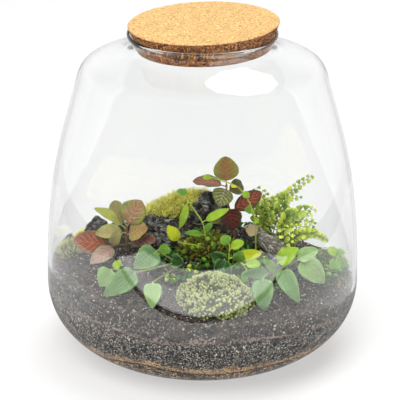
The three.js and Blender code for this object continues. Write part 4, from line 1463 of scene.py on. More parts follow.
def layer(name, finish, low, high, cell, lumps, grain_size, grain_depth):
    """A layer of the ground as one closed mesh: its top, its side along the glass and its underside."""
    widest = JAR["belly"] - JAR["wall_glass"]
    sides = int(2 * math.pi * widest / cell)
    angles = np.linspace(0, 2 * math.pi, sides, endpoint=False)
    ways = np.stack([np.cos(angles), np.sin(angles)], axis=-1)
    tops = np.array([edge_height(high, a) for a in angles])
    if low:
        lows = np.array([edge_height(low, a) for a in angles])
    else:
        lows = np.tile((FLOOR_HEIGHT, room_radius(FLOOR_HEIGHT + 0.1)), (sides, 1))
    top_rows = int(widest / cell)
    side_rows = max(4, int((tops[:, 0] - lows[:, 0]).mean() / cell))
    rows = []
    for number in range(1, top_rows + 1):
        flat = ways * (tops[:, 1:] * (number / top_rows))
        rows.append(("top", 0, flat, high(flat[:, 0], flat[:, 1])))
    for number in range(1, side_rows + 1):
        share = number / side_rows
        level = tops[:, 0] + (lows[:, 0] - tops[:, 0]) * share
        rows.append(("side", share, ways * room_radius(level)[:, None], level))
    for number in range(1, 9):
        flat = ways * (lows[:, 1:] * (1 - number / 9))
        level = low(flat[:, 0], flat[:, 1]) + CLEARANCE if low else np.full(sides, FLOOR_HEIGHT)
        rows.append(("under", 1, flat, level))
    kinds, shares = (np.repeat([row[part] for row in rows], sides) for part in (0, 1))
    corners = np.vstack([np.column_stack(row[2:]) for row in rows])
    far, own = grains(corners, grain_size)
    relief = grain_depth * (0.55 * smoothstep(0.25, 0.8, far) + 0.6 * own)
    heave = rough(corners, lumps, 4)
    radius = np.hypot(corners[:, 0], corners[:, 1])
    edge = smoothstep(widest, widest - 10, radius)
    top, side = kinds == "top", kinds == "side"
    corners[top, 2] += (heave * 1.1 * edge)[top] - relief[top]
    inwards = np.where(side, relief + 0.05, 0)
    down = np.append(shares, [0, 1])
    corners[:, :2] *= (1 - inwards / np.maximum(radius, 1))[:, None]
    count = len(corners)
    ends = [(0, 0, float(high(0.0, 0.0))), (0, 0, float(low(0.0, 0.0)) + CLEARANCE if low else FLOOR_HEIGHT)]
    faces = [tuple(reversed(face)) for face in grid_faces(len(rows), sides)]
    for i in range(sides):
        after = (i + 1) % sides
        faces += [(count, i, after), (count + 1, count - sides + after, count - sides + i)]
    surface = Surface()
    planted = np.append(np.where(top, 1.0, 0.0), [1, 0])
    every = np.vstack([corners, ends])
    planted *= smoothstep(0.5, 3.0, room_radius(every[:, 2]) - np.hypot(every[:, 0], every[:, 1]))
    near = np.zeros(len(every))
    for x, y, wide, deep in VERDANT:
        near = np.maximum(
            near, smoothstep(1.1, 0.8, np.hypot((every[:, 0] - x) / wide, (every[:, 1] - y) / deep))
        )
    lush = 0.45 + 0.55 * smoothstep(-0.3, 0.1, rough(every, 14.0, 3))
    surface.add(every, faces, planted=planted, verdant=planted * near * lush, down=down)
    return surface.build(name, [finish])


def build_ground():
    """Drainage grit, charcoal and soil, each a layer of grains against the glass."""
    values = settings().ground
    cell = values.cell / MM
    pale = "#D8CFC0"
    grit_colour = tuple(values.grit)
    # Each layer's grains get painted shade in the gaps between them.
    grit = grainy("clay_grit", "#1C120B", grit_colour, 480.0, 0.6, 0.9, pale, 0.05, None, 0.0008, 0.95)
    made = layer("grit_layer", grit, None, grit_height, cell * 1.2, 9.0, 3.2, 1.3)
    settle(made, ["drainage_grit"])
    coal = grainy(
        "broken_charcoal", tuple(values.charcoal), "#A39D96", 880.0, 0.4, 0.8, pale, 0.1,
        seep=(grit_colour, 0.82),
    )
    made = layer("charcoal_layer", coal, grit_height, charcoal_height, cell * 0.8, 8.0, 1.7, 0.9)
    settle(made, ["charcoal"])
    soil = grainy(
        "moist_soil", tuple(values.soil), "#968A7E", 700.0, 0.35, 0.85, pale, 0.035, "#5A483C",
        seep=("#9A8478", 0.8),
    )
    made = layer("soil_mound", soil, charcoal_height, ground_height, cell, 7.0, 2.1, 0.8)
    # Piece, name, dark and light colour, spacing, smallest and largest size, where it stands, seed
    scattered = (
        (crumb(5), "crumbs", "#0C0A08", "#54483E", 3.5, 0.35, 1.3, "planted", 3),
        (crumb(9, 0.9), "grit_specks", "#7E7668", "#B8AE9E", 12.0, 0.2, 0.4, "planted", 4),
        (chip(8), "bark_chips", "#1E1610", "#5E4A38", 7.5, 0.4, 1.1, "planted", 5),
        (straw(2), "straws", "#4E463A", "#C2B69A", 7.5, 0.4, 1.2, "planted", 9),
        (feather_shoot(6), "ground_moss", "#5E6A16", "#DCD048", 3.8, 2.0, 3.6, "verdant", 12),
        (sprout(4), "sprouts", "#143208", "#5E9428", 6.6, 2.8, 5.2, "verdant", 15),
        (clover(8), "clover", "#16400E", "#448A22", 8.0, 4.5, 7.5, "verdant", 18),
        (clover(3), "seedlings", "#5E9A22", "#D6EC5A", 15.0, 4.0, 6.5, "verdant", 21),
    )
    for shape, label, dark, light, spacing, small, large, where, seed in scattered:
        piece, finish = hidden_piece(shape, label), litter_finish(label, dark, light)
        scatter(made, piece, finish, spacing * MM, small, large, 0.0, 0.25, where, seed)
    made_plain(made)
    keep_inside(made)
    settle(made, ["soil"])


def stone_planes(seed):
    """The tilted planes that break a stone's sides."""
    planes = []
    for i in range(12):
        height = 1 - (2 * i + 1) / 12
        around = i * 2.4 + chance(seed, i)
        level = math.sqrt(1 - height**2)
        planes.append(
            ((level * math.cos(around), level * math.sin(around), height), 0.76 + 0.22 * chance(seed, i + 12))
        )
    return planes


def around_centre(shape, directions, reach):
    """Points round the middle of a stone or a cushion."""
    points = np.asarray(directions) * np.array(shape["size"]) * reach[:, None]
    points[:, 2] += shape.get("rise", 0) * points[:, 0]
    turn = math.radians(shape.get("turn", 0))
    x = points[:, 0] * math.cos(turn) - points[:, 1] * math.sin(turn)
    y = points[:, 0] * math.sin(turn) + points[:, 1] * math.cos(turn)
    return np.column_stack([x, y, points[:, 2]]) + np.array(shape["centre"])


def ball(detail):
    """Directions and faces of a ball of small triangles."""
    made = bmesh.new()
    bmesh.ops.create_icosphere(made, subdivisions=detail, radius=1)
    directions = np.array([v.co for v in made.verts])
    faces = [[v.index for v in f.verts] for f in made.faces]
    made.free()
    return directions, faces


def build_stones():
    """Craggy slates whose layers break in steps, and one pale stone."""
    values = settings().stones
    slate = stone_finish("slate", tuple(values.dark), "#74726C", "#C4C2BA")
    pale = stone_finish(
        "pale_stone", mix_colours(values.dark, values.pale, 0.6), tuple(values.pale), "#C9C9C4"
    )
    for name, shape in STONES.items():
        directions, faces = ball(values.detail)
        planes = stone_planes(shape["seed"])
        normals = np.array([normal for normal, _ in planes])
        distances = np.array([distance for _, distance in planes])
        reaches = distances / np.maximum(0.1, directions @ normals.T)
        reach = np.minimum(1.12, reaches.min(axis=1))
        points = around_centre(shape, directions, reach)
        bedding = unit((0.35, -0.45, 0.8))
        depth = points @ bedding + 1.6 * rough(points, 16.0, 3)
        step = 2.3
        terrace = (depth / step) - np.round(depth / step)
        craggy = values.craggy / MM
        outwards = directions / np.linalg.norm(directions, axis=1, keepdims=True)
        ridges = 0.5 - np.abs(rough(points * (1, 1, 2.2), 6.0, 4))
        push = craggy * (
            0.9 * ridges + 0.4 * rough(points, 2.4, 3) - 0.9 * smoothstep(0.3, 0.5, np.abs(terrace))
        )
        points = points + outwards * push[:, None]
        surface = Surface()
        surface.add(points, faces)
        made = surface.build(name.replace("rock", "stone"), [pale if name == "rock_right" else slate])
        settle(made, [name])


def cut_end(surface, rim, centre, shares, finish, turned=False):
    """Closes the end of a branch with rings of faces round its middle."""
    sides = len(rim)
    corners, marks = [], []
    for share in shares:
        for i, point in enumerate(rim):
            angle = 2 * math.pi * i / sides
            corners.append(centre + (np.array(point) - centre) * share)
            marks.append((share * math.cos(angle), share * math.sin(angle)))
    last = len(corners)
    faces = grid_faces(len(shares), sides)
    faces += [(last - sides + i, last - sides + (i + 1) % sides, last) for i in range(sides)]
    if turned:
        faces = [tuple(reversed(face)) for face in faces]
    surface.add([*corners, centre], faces, finish, cut=np.array([*marks, (0, 0)]))


def add_knot(surface):
    """The sawn end of a side branch that looks to the front, with rough bark round it."""
    foot, end, radius, sides = np.array((42, -17, 100.0)), np.array((39.2, -26.5, 106.2)), 5.2, 32
    along = unit(end - foot)
    across = unit(np.cross(along, (0, 0, 1)))
    other = np.cross(along, across)
    rows = ((0.0, 1.1), (0.5, 1.03), (0.85, 1.0), (0.97, 0.98), (1.0, 0.9))
    corners = []
    for number, (share, wide) in enumerate(rows):

        def reach(angle):
            bump = 0.13 * math.sin(5 * angle + 1) + 0.1 * math.sin(11 * angle + number)
            return radius * (wide + bump * (1 if share < 1 else 0.5))

        corners += ring(foot + (end - foot) * share, across, other, sides, reach)
    surface.add(corners, grid_faces(len(rows), sides), 0, cut=np.zeros((len(corners), 2)))
    cut_end(surface, np.array(corners[-sides:]), end, (1.0, 0.66, 0.33), 1)
    back = np.array(corners[:sides])
    faces = [(sides, (i + 1) % sides, i) for i in range(sides)]
    surface.add([*back, foot], faces, 0, cut=np.zeros((sides + 1, 2)))


def build_wood():
    """A stub of weathered wood: fibrous bark, a pale cut end with rings, and loose fibres at the far end."""
    route = Route(WOOD_ROUTE)
    finish, graph, shader = new_finish("weathered_bark", 0.85)
    place = graph.own_place()
    stretched = graph.first(
        "ShaderNodeMapping",
        {"Vector": place, "Rotation": (0.0, 0.55, -0.42), "Scale": (60.0, 1500.0, 1500.0)},
    )
    fibres = graph.noise(stretched, 1.0, 5.0, 0.6)
    colour = graph.mix(graph.step(fibres, 0.35, 0.68), "#4E463C", "#BDB6A8")
    graph.dress(shader, colour, graph.bump(fibres, 0.001))
    cut, graph, shader = new_finish("cut_wood", 0.8)
    uv = graph.first("ShaderNodeUVMap", uv_map="cut")
    rings = graph.node(
        "ShaderNodeTexWave",
        {"Vector": uv, "Scale": 2.2, "Distortion": 1.4, "Detail": 3.0},
        wave_type="RINGS",
        rings_direction="Z",
    ).outputs[1]
    graph.dress(shader, graph.mix(rings, "#A28E68", "#CDBB92"))
    loose, graph, shader = new_finish("loose_fibres", 0.9)
    spots = graph.noise(graph.own_place(), 300.0, 3.0)
    graph.dress(shader, graph.mix(graph.step(spots, 0.35, 0.65), "#7E766C", "#E0DAD0"))
    sides, rings_count = 44, 60
    surface = Surface()
    across = unit(np.cross(route.direction(0), (0, 0, 1)))
    corners = []
    shares = [number / (rings_count - 1) for number in range(rings_count)]
    for share, centre, across, other in route.frames(shares, across):

        def reach(angle):
            ridge = noise.fractal(Vector((math.cos(angle) * 4, math.sin(angle) * 4, share * 3)), 0.6, 2.2, 5)
            return WOOD_RADIUS * (0.92 - 0.08 * share + 0.2 * ridge)

        corners += ring(centre, across, other, sides, reach)
    surface.add(corners, grid_faces(rings_count, sides), 0, cut=np.zeros((len(corners), 2)))
    for end, finish_number in ((0, 1), (rings_count - 1, 0)):
        rim = corners[end * sides : (end + 1) * sides]
        cut_end(surface, rim, np.mean(rim, axis=0), (1.0, 0.8, 0.6, 0.4, 0.2), finish_number, turned=not end)
    for i in range(64):
        start = 0.3 + 0.68 * chance(71, i)
        angle = 2 * math.pi * chance(72, i)
        along = route.direction(start)
        side = unit(np.cross(along, (math.cos(angle), math.sin(angle), 0.6)))
        if side[2] < -0.35:
            side = -side
        foot = route.place(start) + side * WOOD_RADIUS * 0.82
        reach = 6 + 10 * chance(73, i)
        wave = (chance(74, i) - 0.5) * 5
        tip = foot + along * reach + side * (1.5 + 2.5 * chance(75, i)) + np.array((0, wave, -reach * 0.15))
        middle = (foot + tip) / 2 + side * 1.2
        tube(surface, Route((foot, middle, tip)), lambda s: 0.34 * (1.05 - s), 5, 8, 2)
    add_knot(surface)
    made = surface.build("wood_piece", [finish, cut, loose])
    settle(made, ["wood_stub"])


def cushion(name, shape, base_finish, clumps):
    """The body of a moss cushion, cut off where it meets the ground, marked where shoots stand on it."""
    directions, faces = ball(5)
    reach = 1 + 0.08 * rough(directions * 12, 5.0, 3)
    points = around_centre(shape, directions, reach)
    ground = ground_height(points[:, 0], points[:, 1])
    planted = smoothstep(-0.3, 0.8, points[:, 2] - ground)
    if clumps:
        planted = planted * smoothstep(-0.4, -0.2, rough(points, clumps, 3))
    points[:, 2] = np.maximum(points[:, 2], ground - 1.5)
    radius = np.hypot(points[:, 0], points[:, 1])
    most = room_radius(points[:, 2]) - 0.8
    scale = np.minimum(1, most / np.maximum(radius, 1))
    points[:, :2] *= scale[:, None]
    surface = Surface()
    surface.add(points, faces, planted=planted)
    return surface.build(name, [base_finish])


def build_moss():
    """Seven cushions, each covered with shoots of its own kind."""
    values = settings().moss
    green, pale = tuple(values.green), tuple(values.pale)
    under = grainy("moss_under", "#2E3410", "#6E7226", 700.0, 0.5, 0.5)
    sunny = grainy("sunny_moss_under", "#8E8C24", "#DADA58", 700.0, 0.6, 0.2)
    leafy = litter_finish("leafy_moss", "#16380E", "#7CAA30")
    stars = shoot_finish("star_moss", "#A8BC50", pale, "#F6FAC4", 0.5)
    # The painted shade at the feet of these shoots is kept light (foot 0.95).
    bright = shoot_finish("bright_moss", "#EADC58", green, "#FFFFB8", 0.55, foot=0.95)
    dark = shoot_finish("dark_moss", "#5A6A16", "#BCB82E", "#FADC50", 0.4)
    straw_moss = shoot_finish("straw_moss", "#A8A860", "#D2D68C", "#F2ECC4", 0.4)
    pieces = {
        "star": hidden_piece(star_tuft(3), "star_tuft"),
        "feather": hidden_piece(feather_shoot(5), "feather_shoot"),
        "needle": hidden_piece(needle_shoot(7), "needle_shoot"),
        "leafy": hidden_piece(clover(6), "leafy_shoot"),
    }
    # Shoot, finish, spacing, smallest and largest size, how upright, how much they lean
    kinds = {
        "moss_front": (("star", stars, 1.55, 1.1, 2.2, 0.3, 0.4), ("needle", stars, 3.2, 1.6, 2.6, 0.4, 0.4)),
        "moss_ridge": (
            ("feather", bright, 1.15, 1.8, 3.8, 0.8, 0.9), ("needle", bright, 2.8, 3.5, 6.5, 1.2, 0.5)
        ),
        "moss_centre": (
            ("feather", dark, 1.3, 1.6, 3.4, 0.6, 0.8), ("leafy", leafy, 7.0, 3.5, 6.5, 0.5, 0.5)
        ),
        "moss_left": (
            ("feather", straw_moss, 1.1, 1.3, 2.4, 0.5, 0.7), ("needle", straw_moss, 3.0, 2.5, 5.5, 0.9, 0.3)
        ),
        "moss_behind_left": (
            ("feather", bright, 1.1, 1.3, 2.2, 0.5, 0.6), ("needle", bright, 3.0, 2.5, 5.5, 0.9, 0.3)
        ),
        "moss_right": (
            ("feather", straw_moss, 1.4, 1.6, 2.8, 0.5, 0.8), ("leafy", leafy, 6.5, 3.0, 6.0, 0.5, 0.5)
        ),
        "moss_back": (
            ("feather", bright, 1.3, 1.4, 2.6, 0.5, 0.6), ("star", bright, 3.4, 1.2, 1.8, 0.3, 0.4)
        ),
    }
    scale = values.spacing / USUAL_SPACING
    size = values.length / USUAL_SHOOT
    for name, shape in MOSSES.items():
        made = cushion(
            name + "_cushion", shape, sunny if kinds[name][0][1] is bright else under,
            clumps=9.0 * (name == "moss_front"),
        )
        for kind, finish, spacing, small, large, upright, lean in kinds[name]:
            spacing = spacing * scale * MM
            small, large, seed = small * size, large * size, shape["seed"]
            scatter(made, pieces[kind], finish, spacing, small, large, upright, lean, "planted", seed)
        made_plain(made)
        keep_inside(made)
        settle(made, [name])


def half_width(outline, share):
    """Half of a leaf's width at a share of its blade, as a share of its widest half."""

    def shape(t):
        return t ** outline["base"] * (1 - t) ** outline["tip"]

    return shape(share) / shape(outline["base"] / (outline["base"] + outline["tip"]))


def blade_faces(rows, width):
    """Faces of a blade: rows of corners on top, the same below them, and one corner at the tip."""
    count = rows * width
    faces = []
    for row in range(rows - 1):
        for a in range(row * width, (row + 1) * width - 1):
            b = a + width
            faces += [(a, a + 1, b + 1, b), (count + a, count + b, count + b + 1, count + a + 1)]
    for column in range(width - 1):
        a = count - width + column
        faces += [(a, a + 1, 2 * count), (count + a + 1, count + a, 2 * count)]
        faces.append((column + 1, column, count + column, count + column + 1))
    return faces


def add_leaf(surface, base, tip, width, facing, outline, look, own, veins, slant, teeth=0):
    """A leaf with its stalk: a folded, arched blade, quilted between its veins, with a waved edge."""
    values = settings().leaves
    rows, columns = values.rows, values.columns
    if width < 7:
        rows, columns = rows * 2 // 3, max(4, columns - 2)
    base, tip = np.asarray(base, float), np.asarray(tip, float)
    along = tip - base
    length = np.linalg.norm(along)
    along = along / length
    side = unit(np.cross(along, facing))
    up = np.cross(side, along)
    start = 0.15
    bend = (chance(own, 1) - 0.5) * 0.06 * length
    phase = 6.28 * chance(own, 2)
    curl = 0.05 + 0.05 * chance(own, 3)
    spread = np.linspace(-1, 1, 2 * columns + 1)
    spread = np.sign(spread) * np.abs(spread) ** 0.85
    top, low, uv = [], [], []
    thick = values.thickness / MM
    for row in range(rows):
        share = (row / rows) ** 0.9
        reach = max(width / 2 * half_width(outline, share), 0.4) if row else 0.4
        if teeth:
            reach *= 1 + 0.035 * (abs((share * teeth) % 1 - 0.5) * 2 - 0.5)
        place = start + (1 - start) * share
        for c in spread:
            across = c * reach
            edge = place - outline["lobe"] * (1 - share) ** 3 * abs(c) ** 1.4
            arched = 0.08 * length * math.sin(math.pi * edge)
            fold = 0.22 * abs(across) * (0.75 + 0.25 * abs(c))
            between = abs(math.sin(math.pi * (share * veins - slant * abs(c) ** 0.8)))
            swell = values.quilt * width * between * (1 - abs(c)) * min(1, 4 * share) * (1 - share**4)
            wave = values.ripple * width * c * c * math.sin(
                5 * math.pi * share + phase + (1.3 if c > 0 else 0)
            )
            droop = -curl * length * max(0, edge - 0.55) ** 2 * 2
            middle = base + along * length * edge + side * (across + bend * math.sin(math.pi * edge))
            middle = middle + up * (arched + fold + swell + wave * min(1, 3 * share) + droop)
            body = thick * math.sqrt(max(0, 1 - c * c)) * (1 - 0.6 * share)
            top.append(middle + up * body / 2)
            low.append(middle - up * body / 2)
            uv.append((0.5 + 0.5 * c, share))
    end = base + along * length + up * (-curl * length * 0.4)
    count = len(top)
    middle_colour, rim_colour, vein_colour = (linear(code) for code in LEAF_LOOKS[look])
    surface.add(
        [*top, *low, end], blade_faces(rows, len(spread)), 0, blade=np.array([*uv, *uv, (0.5, 1.0)]),
        middle=middle_colour, rim=rim_colour, veins=vein_colour, own=chance(own, 5),
        under=[0.0] * count + [1.0] * count + [0.0],
    )
    stalk_end = base + along * length * (start + 0.06) + up * (
        0.08 * length * math.sin(math.pi * (start + 0.06)) - 0.15
    )
    stalk_middle = base + along * length * 0.1 + up * (0.08 * length * math.sin(math.pi * 0.1) * 0.9)
    stalk = Route((base, stalk_middle, stalk_end))
    tube(surface, stalk, lambda s: 0.55 - 0.12 * s, 6, 6, 1, middle=mix_colours(rim_colour, vein_colour, 0.5))


def add_stems(surface, routes, radius, colour):
    """Tapering stems with slightly swollen joints."""
    for line in routes:
        joints = max(2, int(line.length / 9))

        def thickness(share):
            return radius * (1.05 - 0.3 * share) * (1 + 0.18 * math.cos(2 * math.pi * joints * share) ** 8)

        tube(surface, line, thickness, 9, max(14, int(line.length / 1.2)), 1, middle=colour)


def close_edges(made):
    """Joins a leaf's upper and lower faces where they meet at its edge."""
    body = bmesh.new()
    body.from_mesh(made.data)
    bmesh.ops.remove_doubles(body, verts=body.verts, dist=2e-6)
    body.to_mesh(made.data)
    body.free()
    made.data.update()


def build_plants(plants, leaf_material, stem_material, slot, radius, stem_colour, outline=None, **shape):
    """Plants of stems and leaves, one piece for each."""
    for number, (name, plant) in enumerate(plants.items()):
        surface = Surface()
        routes = [Route(stem) for stem in plant["stems"]]
        add_stems(surface, routes, radius, stem_colour)
        for index, (stem, at, tip, width, facing, look) in enumerate(plant["leaves"]):
            own = 100 * (number + 1) + index + radius
            form = outline or plant["outline"]
            add_leaf(surface, routes[stem].place(at), tip, width, facing, form, look, own, **shape)
        made = surface.build(name + "_plant", [leaf_material, stem_material])
        close_edges(made)
        keep_inside(made)
        settle(made, [name])


def build_net_plants():
    """The two net-leaved plants."""
    veins = {
        "Side Veins": 7.0, "Slant": 3.0, "Fan": 0.15, "Width": 0.018, "Net Scale": 10.0, "Net Width": 0.09
    }
    leaf = leaf_finish("net_leaf", veins, 0.4, 1.0, 0.6, 0.0004, 0.45)
    stem = marked_finish("net_stem")
    build_plants(
        NET_PLANTS, leaf, stem, "net_leaf", 1.1, linear("#8A6A4A"), outline=OVATE, teeth=16, veins=7,
        slant=3.0,
    )


def build_creepers():
    """The four creepers."""
    veins = {"Side Veins": 5.0, "Slant": 2.2, "Width": 0.018, "Net Scale": 12.0, "Net Width": 0.05}
    leaf = leaf_finish("creeper_leaf", veins, 0.38, 0.45, 0.12, 0.0002)
    stem = marked_finish("creeper_stem")
    build_plants(CREEPERS, leaf, stem, "creeper_leaf", 0.6, linear("#A8C23C"), veins=5, slant=2.2)


def build_ivies():
    """The two ivies."""
    veins = {
        "Side Veins": 5.0, "Slant": 1.2, "Fan": 0.8, "Width": 0.016, "Net Scale": 11.0, "Net Width": 0.05
    }
    leaf = leaf_finish("ivy_leaf", veins, 0.36, 0.55, 0.22, 0.00025)
    stem = marked_finish("ivy_stem")
    build_plants(IVIES, leaf, stem, "ivy_leaf", 0.7, linear("#8FA24A"), teeth=7, veins=5, slant=1.2)


def leaflet():
    """One rounded fern leaflet of unit length, along +Y, facing +Z, slightly cupped."""
    surface = Surface()
    rows, columns = 5, 2
    top, low, heights = [], [], []
    for row in range(rows):
        share = row / rows
        reach = (0.08, 0.24, 0.4, 0.48, 0.38)[row]
        for column in range(-columns, columns + 1):
            c = column / columns
            lift = 0.25 * abs(c) * reach + 0.04 * math.sin(math.pi * share) - 0.1 * share**2
            y = share + 0.12 * share * (1 - abs(c)) + 0.04 * c * share
            body = 0.02 * math.sqrt(max(0, 1 - c * c))
            top.append((c * reach, y, lift + body))
            low.append((c * reach, y, lift - body))
            heights.append(share)
    faces = blade_faces(rows, 2 * columns + 1)
    surface.add([*top, *low, (0.05, 1, -0.1)], faces, height=[*heights, *heights, 1.0])
    made = surface.build("fern_leaflet", [])
    close_edges(made)
    bpy.context.scene.collection.objects.unlink(made)
    made.data.transform(Matrix.Scale(1 / MM, 4))
    return made


def build_fern():
    """Nine fronds: a rib and pairs of rounded leaflets that grow shorter to the tip."""
    # The fern's leaflets darken towards their base by painted shade (foot 0.7).
    finish = shoot_finish("fern_leaf", "#3E8010", "#E6F84A", "#F0FA8C", 0.5, 0.5, 0.7)
    rib_finish = marked_finish("fern_rib")
    tree = leaflet_tree()
    piece = leaflet()
    for number, (foot, middle, tip, pairs, facing, twins) in enumerate(FRONDS):
        across = np.cross(np.array(tip, float) - foot, facing)
        ribs = []
        for twin in (*twins, 0):
            shift = unit(across) * 5 * twin + np.array((0, 4, -5)) * abs(twin)
            ribs.append(Route((foot, np.array(middle) + shift * 0.7, np.array(tip) + shift)))
        places, outs, ups, sizes, tones = [], [], [], [], []
        pairs = round(pairs * (1.15 if number < 2 else 1.25))
        for twin, rib in enumerate(ribs):
            for pair in range(pairs + 1):
                for way in (-1, 1):
                    share = 0.26 + 0.71 * (pair + (0.5 if way < 0 else 0.12)) / pairs
                    if share > 0.995:
                        continue
                    forwards = rib.direction(share)
                    side = unit(across - forwards * across.dot(forwards))
                    up = np.cross(side, forwards)
                    own = 40 * twin + pair * 2 + way
                    tilt = (0.6 if number < 2 else 1.5) * (chance(number + 40, own) - 0.5)
                    outs.append(unit(side * way + forwards * (0.35 + 0.4 * tilt) + up * (0.1 + 0.4 * tilt)))
                    ups.append(unit(up + side * tilt))
                    places.append(rib.place(share) + side * way * 0.3)
                    fade = 1 - 0.5 * max(share - 0.62, 0) / 0.38 - 0.3 * max(0.5 - share, 0) / 0.22
                    sizes.append(max(fade, 0.5) * (0.7 + 0.5 * chance(number + 60, own)))
                    tones.append(chance(number + 80, own))
        mesh = bpy.data.meshes.new(f"fern_frond_{number + 1}_leaves")
        mesh.from_pydata((np.array(places) * MM).tolist(), [], [])
        for label, values in (("out", outs), ("up", ups), ("size", sizes), ("tone", tones)):
            mark_corners(mesh, label, values)
        leaves = placed(mesh.name, mesh)
        grow(
            leaves, tree, {"Leaflet": piece, "Material": finish, "Length": (6.4 if number < 2 else 5.3) * MM}
        )
        made_plain(leaves)
        surface = Surface()
        colour = linear("#6E5A34") if number in (5, 6) else linear("#8A8F3C")
        for rib in ribs:
            tube(surface, rib, lambda s: 0.5 - 0.32 * s, 7, 26, 0, middle=colour)
        made = surface.build(f"fern_frond_{number + 1}_spray", [rib_finish])
        joined_into(made, [leaves])
        keep_inside(made)
        settle(made, [f"fern_frond_{number + 1}"])


def joined_into(made, others):
    """Joins other objects' meshes into one object."""
    for each in bpy.context.selected_objects:
        each.select_set(False)
    for each in (made, *others):
        each.select_set(True)
    bpy.context.view_layer.objects.active = made
    bpy.ops.object.join()
    made.select_set(False)


# Stage


def lamp(name, place, target, size, power):
    """A soft lamp that doesn't show in reflections."""
    light = bpy.data.lights.new(name, "AREA")
    light.shape = "DISK"
    light.size = size
    light.energy = power
    made = placed(name, light)
    made.location = place
    made.rotation_euler = (Vector(target) - Vector(place)).to_track_quat("-Z", "Y").to_euler()
    made.visible_glossy = False
    made.visible_transmission = False
    return made


def card(name, corners, glow, faces=None):
    """A card that shows only as a reflection in the glass. Its glow is one value or one for each corner.

    Rays that went through the whole jar towards the front pass it, so the plants show from behind.
    """
    mesh = bpy.data.meshes.new(name)
    mesh.from_pydata(corners, [], faces or [tuple(range(len(corners)))])
    finish = bpy.data.materials.new(name)
    graph = empty_graph(finish)
    if np.ndim(glow):
        mark_corners(mesh, "glow", glow)
        glow = graph.mark("glow")
    light = graph.first("ShaderNodeEmission", {"Color": (1, 1, 1, 1), "Strength": glow})
    depth = graph.node("ShaderNodeLightPath").outputs["Transmission Depth"]
    ahead = graph.node("ShaderNodeSeparateXYZ", {0: graph.own_place()}).outputs[1]
    ahead = graph.step(ahead, -1.5, 1.5, 1.0, 0.0)
    passed = graph.times(graph.math("GREATER_THAN", depth, 3.5), ahead)
    graph.show(graph.either(passed, light, graph.first("ShaderNodeBsdfTransparent")))
    mesh.materials.append(finish)
    made = placed(name, mesh)
    made.visible_camera = False
    made.visible_diffuse = False
    made.visible_shadow = False
    return made


def reflected_table():
    """The table round the foot: in the jar's shade close by, bright in front and less so at the back."""
    rings = ((0.08, 0.25), (0.12, 0.3), (0.16, 0.8), (0.2, 1.7), (0.24, 2.5), (1, 2.5))
    corners, glows = [], []
    for ring, glow in rings:
        for angle in np.linspace(0, 2 * math.pi, 72, endpoint=False):
            x, y = math.cos(angle), math.sin(angle)
            edge = min(0.5 / max(abs(x), 1e-6), (0.4 if y > 0 else 0.289) / max(abs(y), 1e-6))
            reach = min(ring, edge)
            corners.append((reach * x, reach * y, 0.002))
            glows.append(glow * (1 - 0.6 * float(smoothstep(-0.3, 0.5, y))))
    table = card("reflected_table", corners, glows, grid_faces(len(rings), 72))
    table.visible_transmission = False


def reflected_room():
    """A dark room in front, and a pale sweep round the sides and the back."""
    angles = [*range(-90, 91, 6), *range(93, 268, 3)]
    profile = ((0.2, 0.001), (1.2, 0.001), (6, 0.001), (6, 2.2), (6, 3.8), (6, 12))
    corners, glows = [], []
    for radius, height in profile:
        for angle in angles:
            corners.append(
                (radius * math.sin(math.radians(angle)), -radius * math.cos(math.radians(angle)), height)
            )
            if angle < 92:
                glows.append(0.02 + 0.5 * float(smoothstep(25, 95, abs(angle))))
            else:
                pale = 1 - 0.36 * abs(angle - 180) / 87
                glows.append(pale if height < 3 else 0.6 * pale if height < 5 else 0.3)
    faces = []
    count = len(angles)
    for row in range(len(profile) - 1):
        for column in range(count):
            if row > 1 or abs(angles[column] - 178.5) > 24:
                a, b = row * count + column, row * count + (column + 1) % count
                faces.append((a, b, b + count, a + count))
    card("reflected_room", corners, glows, faces)


